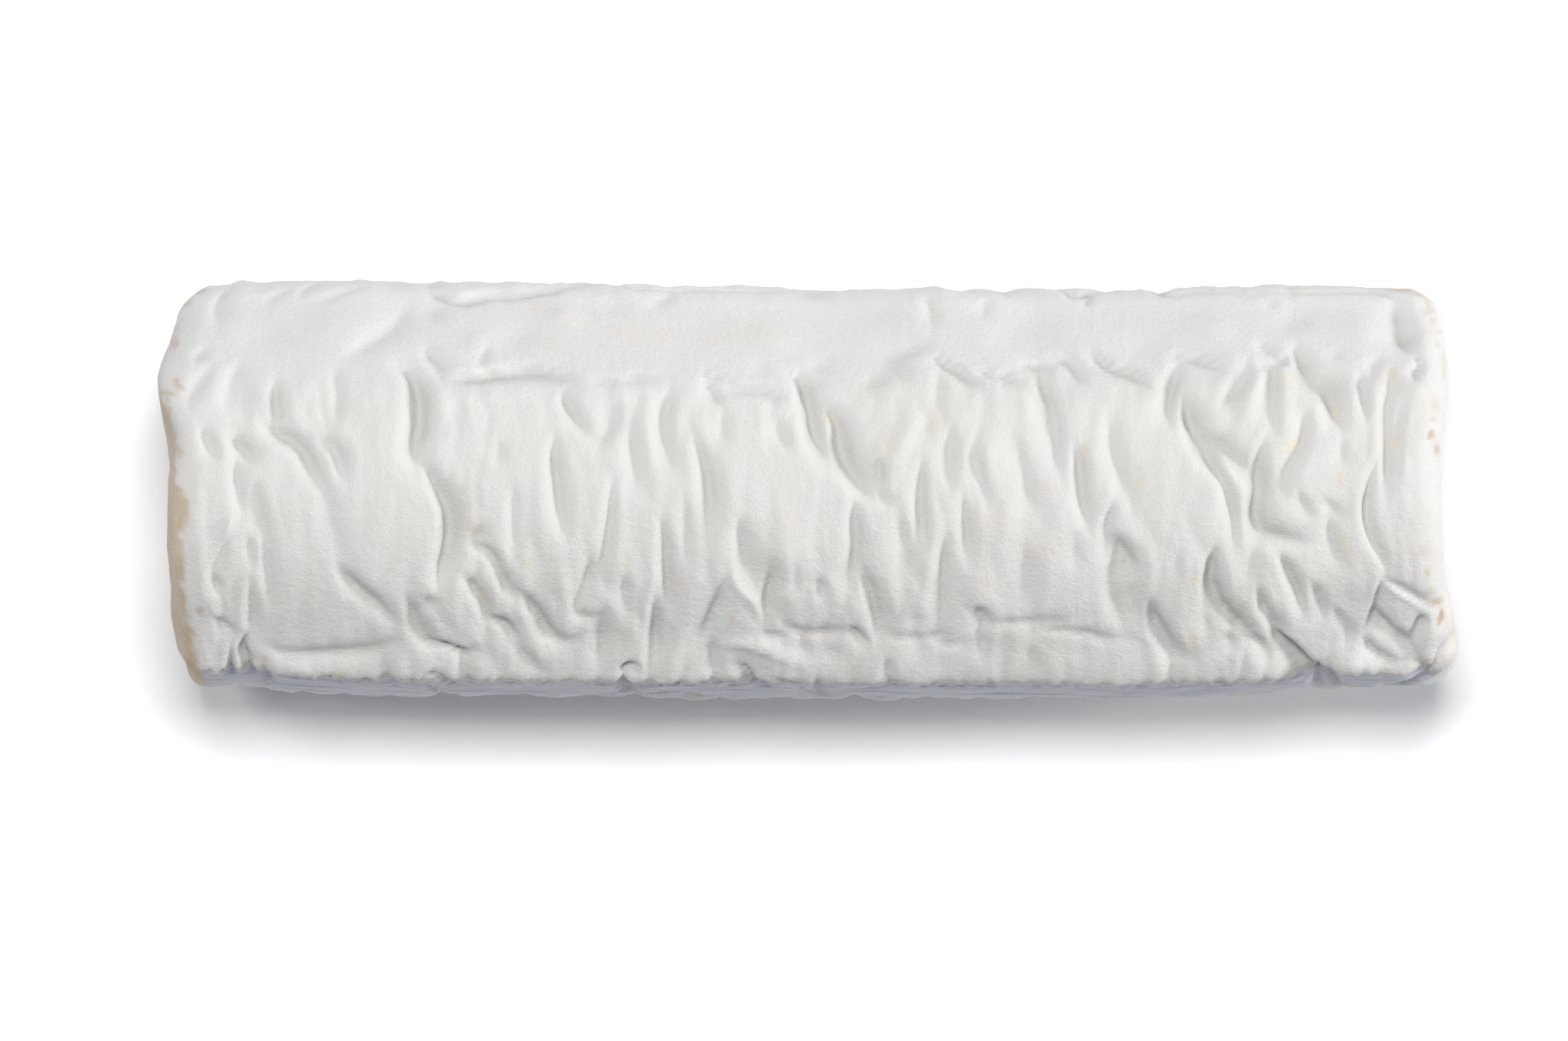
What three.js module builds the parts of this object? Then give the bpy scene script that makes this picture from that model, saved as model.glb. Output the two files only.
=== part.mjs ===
import * as THREE from 'three';
import { mergeVertices } from 'three/addons/utils/BufferGeometryUtils.js';

// A log of soft goat's cheese with a white, wrinkled, bloomy rind, lying on its side.
// Millimetres, +Z up, +X along the log. The origin is on the floor, under the middle of its box.
// A girth is an angle round the log in degrees: 0 on top, 90 at +Y, - 90 at - Y, 180 underneath.

// The body of the log
const logLength = 133.2;
const logRadius = 21.6;
const endTaper = 0.4; // how much thinner the log is at its ends
const axisSag = 0.9; // the middle lies this far towards - Y of the ends
const sagPeak = 12; // where along the log that sag is largest

// Where the soft log has been pressed flat: one flat shows above, one faces - Y, and it rests on the
// third. A flat's edges are rounded by soften, and it has no effect beyond flatReach.
const shoulderFlat = { girth: 47.5, halfWidth: 6.5, soften: 0.12 };
const lowerFlat = { girth: - 82, halfWidth: 7, soften: 0.12 };
const restingFlat = { girth: 180, halfWidth: 6.5, soften: 0 };
const flatReach = 75;
const restingMargin = 14; // the folds come in over this many degrees beyond the resting flat

// The end faces and their rims
const rimRadius = 3.4;
const faceRings = [ 0, 4.2, 8.2, 12, 15.2 ];
const leftDome = 0.5;
const rightDish = 1.5;
const endReach = 14; // how far in from an end its unevenness is felt
// Each swell moves the end outwards by size, round the height y, over spread
const leftSwells = [
	{ y: 10.5, spread: 4, size: 0.85 },
	{ y: - 19.5, spread: 5, size: - 1.9 },
];
const rightSwells = [
	{ y: 11.5, spread: 4.5, size: 0.7 },
	{ y: - 1, spread: 5, size: - 0.25 },
	{ y: - 16, spread: 6, size: 1.35 },
];

// The mesh
const girthSegments = 56;
const sideStations = 84;
const rimSegments = 3;
const crowding = 0.32; // the points are closer by this share on top, and wider apart underneath

// Folds that show from above. A fold's middle lies at x and girth. It runs for length at heading
// degrees, where 0 is along the log and 90 is round it, and its middle bows sideways by bow.
// It is a groove of the given depth, and width is how far out its sides reach before they level off.
const shownFolds = [
	// under the shoulder flat
	{ x: - 30.8, girth: 31, length: 16, heading: - 4, bow: 0.6, depth: 0.8, width: 1.2 },
	{ x: - 6.4, girth: 30, length: 10, heading: - 14, bow: 0.3, depth: 0.6, width: 1 },
	{ x: 17.5, girth: 31.5, length: 7, heading: - 12, bow: 0, depth: 0.6, width: 1 },
	{ x: 33, girth: 31, length: 6.5, heading: - 25, bow: 0, depth: 0.6, width: 1 },
	{ x: 3, girth: 69.5, length: 88, heading: 0, bow: 0, depth: 0.35, width: 0.9 },
	// left third
	{ x: - 54.6, girth: 24, length: 6, heading: 90, bow: 0, depth: 0.7, width: 1.2 },
	{ x: - 51.2, girth: 1, length: 18, heading: - 64, bow: 1.4, depth: 0.9, width: 1.4 },
	{ x: - 61.5, girth: 14, length: 6, heading: - 62, bow: 0, depth: 0.6, width: 1.3 },
	{ x: - 58.8, girth: - 1, length: 4.5, heading: 90, bow: 0, depth: 0.5, width: 1.2 },
	{ x: - 55.5, girth: - 22, length: 7, heading: 94, bow: 0, depth: 0.6, width: 1.2 },
	{ x: - 62, girth: - 19, length: 5.5, heading: 58, bow: 0, depth: 0.5, width: 1.2 },
	{ x: - 57.8, girth: - 48, length: 7, heading: - 75, bow: 0.5, depth: 1, width: 1.3 },
	{ x: - 49, girth: - 48, length: 14, heading: - 3, bow: - 0.8, depth: 1.2, width: 1.5 },
	{ x: - 45.2, girth: - 29, length: 9, heading: - 44, bow: 0, depth: 0.9, width: 1.4 },
	{ x: - 40, girth: 20, length: 12, heading: - 86, bow: 0.9, depth: 0.9, width: 1.5 },
	{ x: - 36.6, girth: - 3, length: 10, heading: - 58, bow: 0.7, depth: 1.3, width: 1.6 },
	{ x: - 37.6, girth: - 21, length: 6.5, heading: 76, bow: 0, depth: 0.7, width: 1.3 },
	{ x: - 40.2, girth: - 39, length: 6, heading: - 66, bow: 0, depth: 0.8, width: 1.2 },
	{ x: - 36.4, girth: - 47, length: 5, heading: - 6, bow: 0, depth: 0.8, width: 1.2 },
	// left of the middle
	{ x: - 31.4, girth: - 23, length: 9, heading: - 56, bow: 0.5, depth: 0.8, width: 1.3 },
	{ x: - 29.6, girth: - 46, length: 7.5, heading: - 62, bow: 0.5, depth: 0.9, width: 1.3 },
	{ x: - 25.6, girth: - 37, length: 8.5, heading: - 40, bow: - 0.8, depth: 1, width: 1.3 },
	{ x: - 25.2, girth: - 2, length: 9.5, heading: - 84, bow: 0, depth: 0.6, width: 1.3 },
	{ x: - 23.6, girth: 22, length: 4.5, heading: - 68, bow: 0, depth: 0.7, width: 1.2 },
	{ x: - 17.4, girth: 8, length: 7.5, heading: - 84, bow: 0, depth: 0.5, width: 1.2 },
	{ x: - 20, girth: - 16, length: 11, heading: - 90, bow: 0.4, depth: 0.7, width: 1.2 },
	{ x: - 11.6, girth: 6, length: 16, heading: - 74, bow: 0.5, depth: 0.7, width: 1.3 },
	{ x: - 13.8, girth: - 19, length: 7.5, heading: - 78, bow: 0, depth: 0.9, width: 1.1 },
	{ x: - 15.2, girth: - 42, length: 10, heading: - 86, bow: 0.3, depth: 1.2, width: 1.5 },
	{ x: - 18.4, girth: - 65, length: 5, heading: - 90, bow: 0, depth: 1.2, width: 1.3 },
	{ x: - 9.8, girth: - 40, length: 8.5, heading: - 100, bow: 0, depth: 0.9, width: 1.3 },
	{ x: - 5.6, girth: - 18, length: 6.5, heading: - 80, bow: 0, depth: 0.7, width: 1.2 },
	{ x: - 4, girth: - 56, length: 6.5, heading: - 30, bow: 0, depth: 0.8, width: 1.2 },
	{ x: - 3.4, girth: - 31, length: 8, heading: - 96, bow: 0, depth: 0.8, width: 1.2 },
	{ x: 1.8, girth: - 42, length: 7.6, heading: 0, bow: - 0.3, depth: 0.9, width: 1.2 },
	// the deep forked fold in the middle, and what follows it down
	{ x: 0.6, girth: 21, length: 10, heading: - 70, bow: 0.3, depth: 1.3, width: 1.6 },
	{ x: 4.6, girth: 8, length: 12, heading: - 54, bow: 0.5, depth: 1.4, width: 1.5 },
	{ x: 5.4, girth: - 16, length: 11, heading: - 90, bow: 0, depth: 1.1, width: 1.2 },
	{ x: 7.4, girth: - 34, length: 7.5, heading: - 70, bow: 0, depth: 1.1, width: 1.4 },
	{ x: 12.5, girth: - 8, length: 9, heading: - 87, bow: 0, depth: 0.7, width: 1.2 },
	{ x: 15.2, girth: 8, length: 6, heading: - 90, bow: 0, depth: 0.6, width: 1.2 },
	{ x: 14.9, girth: - 27, length: 12, heading: - 89, bow: 0, depth: 0.9, width: 1.3 },
	{ x: 18, girth: - 20, length: 11, heading: - 86, bow: 0, depth: 0.7, width: 1.2 },
	// right of the middle
	{ x: 22.8, girth: - 28, length: 7, heading: - 90, bow: 0, depth: 0.7, width: 1.4 },
	{ x: 26.4, girth: 17, length: 11, heading: - 85, bow: 0, depth: 1, width: 1.4 },
	{ x: 29.2, girth: 0, length: 8, heading: - 86, bow: 0, depth: 0.6, width: 1.2 },
	{ x: 26.8, girth: - 41, length: 15, heading: - 3, bow: 0.3, depth: 0.8, width: 1.2 },
	{ x: 33.8, girth: - 24, length: 13, heading: - 76, bow: 0.8, depth: 1.1, width: 1.8 },
	{ x: 38.5, girth: 25, length: 5.5, heading: 83, bow: 0, depth: 0.8, width: 1.3 },
	{ x: 42.6, girth: 5, length: 16, heading: - 69, bow: 0.8, depth: 1.2, width: 1.5 },
	{ x: 38, girth: - 42, length: 8, heading: - 54, bow: - 0.4, depth: 1.2, width: 1.4 },
	{ x: 43.8, girth: - 30, length: 11, heading: - 64, bow: - 1, depth: 1.1, width: 1.4 },
	{ x: 48, girth: - 3, length: 12, heading: - 70, bow: - 1, depth: 1.3, width: 1.6 },
	{ x: 48.8, girth: 23, length: 7, heading: - 90, bow: 0, depth: 0.6, width: 1.3 },
	// right end
	{ x: 54.6, girth: 25, length: 9.5, heading: - 62, bow: 0, depth: 0.7, width: 1.6 },
	{ x: 51.2, girth: - 29, length: 6, heading: - 66, bow: 0, depth: 0.7, width: 1.2 },
	{ x: 52, girth: - 45, length: 8, heading: - 32, bow: 0, depth: 1.3, width: 1.5 },
	{ x: 54.2, girth: - 62, length: 6, heading: - 90, bow: 0, depth: 1, width: 1.2 },
	{ x: 61, girth: 14, length: 13, heading: - 92, bow: 0.3, depth: 0.7, width: 1.3 },
	{ x: 59.4, girth: - 12, length: 10, heading: - 76, bow: - 0.5, depth: 0.8, width: 1.2 },
	// the corner that is folded over
	{ x: 59, girth: - 35, length: 7.5, heading: 68, bow: 0, depth: 1, width: 1.1 },
	{ x: 63.2, girth: - 31, length: 7, heading: - 30, bow: 0, depth: 1.1, width: 1.1 },
	{ x: 63, girth: - 49, length: 9.5, heading: - 46, bow: 0, depth: 1.2, width: 1.3 },
	{ x: 63.4, girth: 48, length: 7, heading: - 75, bow: 0, depth: 0.8, width: 1.4 },
];

// Swollen pads between the folds: radius is their spread over the rind
const pads = [
	{ x: 56.8, girth: - 53, radius: 3.2, height: 0.7 },
	{ x: 61.6, girth: - 46, radius: 2.6, height: 0.6 },
	{ x: 59.2, girth: 24, radius: 3.5, height: 0.4 },
	{ x: 40, girth: - 12, radius: 4, height: 0.4 },
	{ x: 33.5, girth: 14, radius: 4.5, height: 0.4 },
	{ x: - 44, girth: 4, radius: 5, height: 0.5 },
	{ x: - 47, girth: - 58, radius: 4, height: 0.5 },
	{ x: - 33, girth: 14, radius: 4.5, height: 0.4 },
	{ x: - 59, girth: 6, radius: 4, height: 0.4 },
];

// The side that is turned away has folds of the same kind, spread by a seeded draw
const hiddenFolds = {
	seed: 41,
	girthFrom: 97,
	girthTo: 276,
	girthPitch: 19,
	xPitch: 5.2,
	jitter: 1.6,
	length: [ 5, 11 ],
	heading: [ 68, 112 ],
	bow: [ - 0.6, 0.6 ],
	depth: [ 0.4, 1.1 ],
	width: [ 1, 1.5 ],
};

// Shallow dents over the end faces
const endDents = { seed: 7, count: 12, radius: [ 2.4, 4.6 ], depth: [ 0.2, 0.55 ] };

// How folds are cut: strength scales their depths, and where they meet they add up to less by merging.
// A fold is full along its middle and runs out between these shares of its half length.
const foldCut = { strength: 1.5, merging: 0.25, fadeFrom: 0.5, fadeTo: 1.4 };

// Slow unevenness of the whole rind: radians for each millimetre along, and waves round the girth
const waver = { height: 0.16, along: [ 0.21, 0.13 ], round: [ 2, - 3 ] };

const toDegrees = THREE.MathUtils.radToDeg;
const toRadians = THREE.MathUtils.degToRad;
const halfLength = logLength / 2;
const rimStart = logRadius - rimRadius;

// A seeded draw between two limits
function seededDraw( seed ) {

	THREE.MathUtils.seededRandom( seed );
	return ( low, high ) => low + ( high - low ) * THREE.MathUtils.seededRandom();

}

// The way round from one girth to another, between - 180 and 180 degrees
function girthBetween( from, to ) {

	return THREE.MathUtils.euclideanModulo( to - from + 180, 360 ) - 180;

}

function bell( distance, spread ) {

	return Math.exp( - distance * distance / ( spread * spread ) );

}

// How far down a fold takes the rind at x and girth
function foldDepth( fold, x, girth ) {

	const heading = toRadians( fold.heading );
	const alongLog = x - fold.x;
	const roundLog = toRadians( girthBetween( fold.girth, girth ) ) * logRadius;
	const along = alongLog * Math.cos( heading ) + roundLog * Math.sin( heading );
	const share = Math.abs( 2 * along / fold.length );
	if ( share > foldCut.fadeTo ) return 0;

	const bowed = fold.bow * ( 1 - share * share );
	const across = roundLog * Math.cos( heading ) - alongLog * Math.sin( heading ) - bowed;
	const fade = 1 - THREE.MathUtils.smoothstep( share, foldCut.fadeFrom, foldCut.fadeTo );
	return fold.depth * fade * bell( across, fold.width );

}

function drawHiddenFolds( { seed, girthFrom, girthTo, girthPitch, xPitch, jitter, ...range } ) {

	const draw = seededDraw( seed );
	const made = [];
	for ( let girth = girthFrom; girth <= girthTo; girth += girthPitch ) {

		const start = draw( - halfLength + rimRadius, - halfLength + rimRadius + xPitch );
		for ( let x = start; x < halfLength - rimRadius; x += xPitch ) {

			made.push( {
				x: x + draw( - jitter, jitter ),
				girth: girth + toDegrees( draw( - jitter, jitter ) / logRadius ),
				length: draw( ...range.length ),
				heading: draw( ...range.heading ),
				bow: draw( ...range.bow ),
				depth: draw( ...range.depth ),
				width: draw( ...range.width ),
			} );

		}

	}

	return made;

}

function drawEndDents( { seed, count, radius, depth } ) {

	const draw = seededDraw( seed );
	return Array.from( { length: count * 2 }, ( _, index ) => ( {
		end: index < count ? - 1 : 1,
		y: draw( - rimStart, rimStart ),
		z: draw( - rimStart, rimStart ),
		radius: draw( ...radius ),
		depth: draw( ...depth ),
	} ) );

}

// The smaller of two lengths, with the corner between them rounded by soften
function softMin( one, other, soften ) {

	if ( soften === 0 ) return Math.min( one, other );
	return - soften * Math.log( Math.exp( - one / soften ) + Math.exp( - other / soften ) );

}

// The log's radius at a girth, with the flats pressed into the round
function sectionRadius( girth ) {

	let radius = logRadius;
	for ( const flat of [ shoulderFlat, lowerFlat, restingFlat ] ) {

		const turn = toRadians( Math.min( flatReach, Math.abs( girthBetween( flat.girth, girth ) ) ) );
		const depth = Math.sqrt( logRadius ** 2 - flat.halfWidth ** 2 );
		radius = softMin( radius, depth / Math.cos( turn ), flat.soften );

	}

	return radius;

}

// The height of the rind above the plain log at x and girth
function relief( x, girth, folds ) {

	let depth = 0;
	for ( const fold of folds ) depth += foldDepth( fold, x, girth );

	let height = - foldCut.strength * depth / ( 1 + foldCut.merging * depth );
	for ( const pad of pads ) {

		const away = Math.hypot( x - pad.x, toRadians( girthBetween( pad.girth, girth ) ) * logRadius );
		height += pad.height * bell( away, pad.radius );

	}

	const turn = toRadians( girth );
	for ( const [ index, along ] of waver.along.entries() ) {

		height += waver.height * Math.sin( x * along + turn * waver.round[ index ] );

	}

	return height;

}

// 0 on the resting flat, which is straight and smooth, and 1 well away from it
function freeShare( girth ) {

	const reach = toDegrees( Math.asin( restingFlat.halfWidth / logRadius ) );
	const turn = Math.abs( girthBetween( restingFlat.girth, girth ) );
	return THREE.MathUtils.smoothstep( turn, reach, reach + restingMargin );

}

// How far an end face stands out from its plain plane at y and z
function endShape( end, y, z, dents ) {

	const swells = end < 0 ? leftSwells : rightSwells;
	let out = 0;
	for ( const swell of swells ) out += swell.size * bell( y - swell.y, swell.spread );

	const share = Math.min( 1, Math.hypot( y, z ) / logRadius );
	out += ( end < 0 ? leftDome : - rightDish ) * ( 1 - share * share );
	for ( const dent of dents ) {

		if ( dent.end === end ) out -= dent.depth * bell( Math.hypot( y - dent.y, z - dent.z ), dent.radius );

	}

	return out;

}

// Half of the outline that is turned round the axis: one end face, its rim, the side, and back
function logProfile() {

	const face = faceRings.map( ( radius ) => new THREE.Vector2( radius, - halfLength ) );
	const rim = Array.from( { length: rimSegments + 1 }, ( _, step ) => {

		const turn = step / rimSegments * Math.PI / 2;
		return new THREE.Vector2(
			rimStart + rimRadius * Math.sin( turn ),
			- halfLength + rimRadius * ( 1 - Math.cos( turn ) ),
		);

	} );
	const left = [ ...face, ...rim ];
	const right = left.map( ( point ) => new THREE.Vector2( point.x, - point.y ) ).reverse();
	const side = Array.from( { length: sideStations - 1 }, ( _, step ) => {

		const share = ( step + 1 ) / sideStations;
		return new THREE.Vector2( logRadius, THREE.MathUtils.lerp( - 1, 1, share ) * ( halfLength - rimRadius ) );

	} );
	return [ ...left, ...side, ...right ];

}

// Moves each point of the plain turned log to where the real rind is
function shapeRind( geometry ) {

	const folds = [ ...shownFolds, ...drawHiddenFolds( hiddenFolds ) ];
	const dents = drawEndDents( endDents );
	const position = geometry.getAttribute( 'position' );
	for ( let index = 0; index < position.count; index ++ ) {

		const plain = new THREE.Vector3().fromBufferAttribute( position, index );
		const distance = Math.hypot( plain.y, plain.z );
		const evenTurn = Math.atan2( plain.y, plain.z );
		const girth = toDegrees( evenTurn - crowding * Math.sin( evenTurn ) );
		const end = Math.sign( plain.x );

		// 1 on the side, 0 on the end faces
		const sideShare = THREE.MathUtils.smoothstep( distance, rimStart - rimRadius, logRadius );
		const free = freeShare( girth );
		const taper = 1 - free * endTaper / logRadius * ( plain.x / halfLength ) ** 6;
		const radius = distance * sectionRadius( girth ) / logRadius * taper;
		const rind = radius + free * sideShare * relief( plain.x, girth, folds );
		const turn = toRadians( girth );
		const sag = free * axisSag * ( 1 - ( ( plain.x - sagPeak ) / halfLength ) ** 2 );
		const y = rind * Math.sin( turn ) - sag;
		const z = rind * Math.cos( turn );

		const endShare = THREE.MathUtils.smoothstep( Math.abs( plain.x ), halfLength - endReach, halfLength );
		const x = plain.x + end * endShare * endShape( end, y, z, dents );
		position.setXYZ( index, x, y, z );

	}

	return geometry;

}

function cheeseLogGeometry() {

	const turned = new THREE.LatheGeometry( logProfile(), girthSegments );
	turned.rotateZ( - Math.PI / 2 );
	turned.deleteAttribute( 'normal' );
	turned.deleteAttribute( 'uv' );

	const geometry = shapeRind( mergeVertices( turned ) );
	geometry.computeBoundingBox();
	const { min, max } = geometry.boundingBox;
	geometry.translate( - ( min.x + max.x ) / 2, - ( min.y + max.y ) / 2, - min.z );
	geometry.computeVertexNormals();
	return geometry;

}

const rindMaterial = new THREE.MeshStandardMaterial( {
	color: 0xeeece8,
	roughness: 0.85,
	metalness: 0,
} );

const cheeseLog = new THREE.Mesh( cheeseLogGeometry(), rindMaterial );
cheeseLog.name = 'cheese_log';

const part = new THREE.Group();
part.add( cheeseLog );

export default part;
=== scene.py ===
import math
import random

import bmesh
import bpy
import numpy as np
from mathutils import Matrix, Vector, noise


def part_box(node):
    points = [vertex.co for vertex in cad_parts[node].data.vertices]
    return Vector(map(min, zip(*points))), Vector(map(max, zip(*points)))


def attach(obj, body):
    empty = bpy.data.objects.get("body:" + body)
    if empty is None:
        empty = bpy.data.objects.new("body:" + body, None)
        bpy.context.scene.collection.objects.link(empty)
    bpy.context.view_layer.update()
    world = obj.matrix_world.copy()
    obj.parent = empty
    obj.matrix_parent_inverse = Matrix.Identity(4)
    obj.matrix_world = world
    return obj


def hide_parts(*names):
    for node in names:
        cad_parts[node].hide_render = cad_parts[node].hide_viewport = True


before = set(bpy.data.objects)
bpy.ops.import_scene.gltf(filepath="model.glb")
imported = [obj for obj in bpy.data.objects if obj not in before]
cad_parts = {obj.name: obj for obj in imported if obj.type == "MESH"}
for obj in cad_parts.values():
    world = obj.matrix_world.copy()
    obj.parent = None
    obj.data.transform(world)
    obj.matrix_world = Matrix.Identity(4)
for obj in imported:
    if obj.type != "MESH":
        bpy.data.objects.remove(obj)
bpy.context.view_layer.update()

# A log of soft goat's cheese with a wrinkled, bloomy rind, lying on its side.
# Lengths below are in millimetres and are turned to metres with mm. "Plan" is the view from above:
# x along the log, y across it. A girth is an angle round the log, 0 on top and 90 at +Y.
mm = 0.001
lowCorner, highCorner = (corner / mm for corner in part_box("cheese_log"))
halfLength = (highCorner.x - lowCorner.x) / 2

log = {
    "radius": 21.6,
    "rimRadius": 3.2,  # rounding between the side and the ends
    "girthSteps": 196,
    "sideSteps": 452,
    "rimSteps": 8,
    "faceSteps": 14,
    "crowding": 0.48,  # points are closer by this share round crowdGirth, wider opposite
    "crowdGirth": -14,
    "restHalfWidth": 6.5,  # half of the flat strip that the log rests on
    # where the soft log was pressed: girth, half width and how rounded the edges of the flat are
    "shoulderFlat": (47.5, 6.6, 0.25),
    "lowerFlat": (-83.5, 6.6, 0.05),
    "frontFlat": (-38.5, 20.5),  # below this girth the front runs straight for so many degrees
    "frontFlatEnd": (-1.75, -1.3),  # girths, in radians, between which that ends again
    "fray": 0.32,  # unevenness of the lower flat's upper edge
    "frayPitch": 1.1,
    "frayFine": (0.6, 2.3),  # a finer layer of it: its share, and how much finer it is
    "frayGirth": (-1.4, -1.15),  # girths, in radians, over which it comes in
    "endReach": 12,  # how far in from an end its slant is felt
    "freeTurn": 0.25,  # radians past the resting strip over which the relief comes in
    "faceCalm": 0.35,  # share of the radius, in the middle of an end face, that the relief stays off
    "outlineFrom": (-16, -2),  # heights, from the axis, over which the outlines below come in
}
axisHeight = math.sqrt(log["radius"] ** 2 - log["restHalfWidth"] ** 2)

# plan lines that the sides and ends follow, given at a few places
upperEdge = [(-66, 21.5), (-60, 21.8), (-46, 22.0), (-29, 21.85), (-17, 21.7), (-10, 21.5), (-0.4, 21.05),
             (4.4, 20.85), (9.2, 21.1), (14, 21.3), (19, 21.2), (24, 21.05), (31, 21.2), (36, 21.1),
             (43, 21.35), (52, 21.4), (62, 21.2), (66, 21.1)]
lowerEdge = [(-66, -20.6), (-58, -20.65), (-52, -21.05), (-48, -21.35), (-42, -21.6), (-20, -21.6),
             (4, -21.75), (40, -21.75), (48, -21.45), (52, -21.0), (54, -20.6), (66, -20.6)]
leftEnd = [(-21, -65), (-19.4, -65), (-17.6, -64.9), (-15, -65.3), (-12.6, -65.9), (-10, -65.8), (3, -66),
           (6.5, -66.5), (9.5, -67.1), (12.5, -67.2), (15, -66.2), (17, -65.7), (19, -65.2), (21, -64.2)]
rightEnd = [(-21, 66.4), (-19.4, 67.4), (-18, 68.3), (-16.4, 67.6), (-14.5, 67.6), (-12, 67.2), (-10, 66.9),
            (-8, 66.6), (-4, 66.3), (2, 66.2), (5, 66.4), (9, 66.8), (12.5, 67), (15, 66.9), (17.5, 66.9),
            (19.2, 66.5), (21, 65.8)]

# lower edge of the pressed flat on the upper shoulder: x and plan y
facetEdge = [(-68, 9), (-61, 9.6), (-54, 12), (-48, 12.6), (-40, 11.6), (-24, 11.2), (-16, 11.8), (-8, 11.2),
             (3, 11.6), (9, 13.6), (14, 12.6), (22, 13.2), (31, 13.2), (37, 13.2), (43, 13), (48, 14.8),
             (52, 14.2), (57, 12.2), (61, 13.4), (68, 12)]

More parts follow.
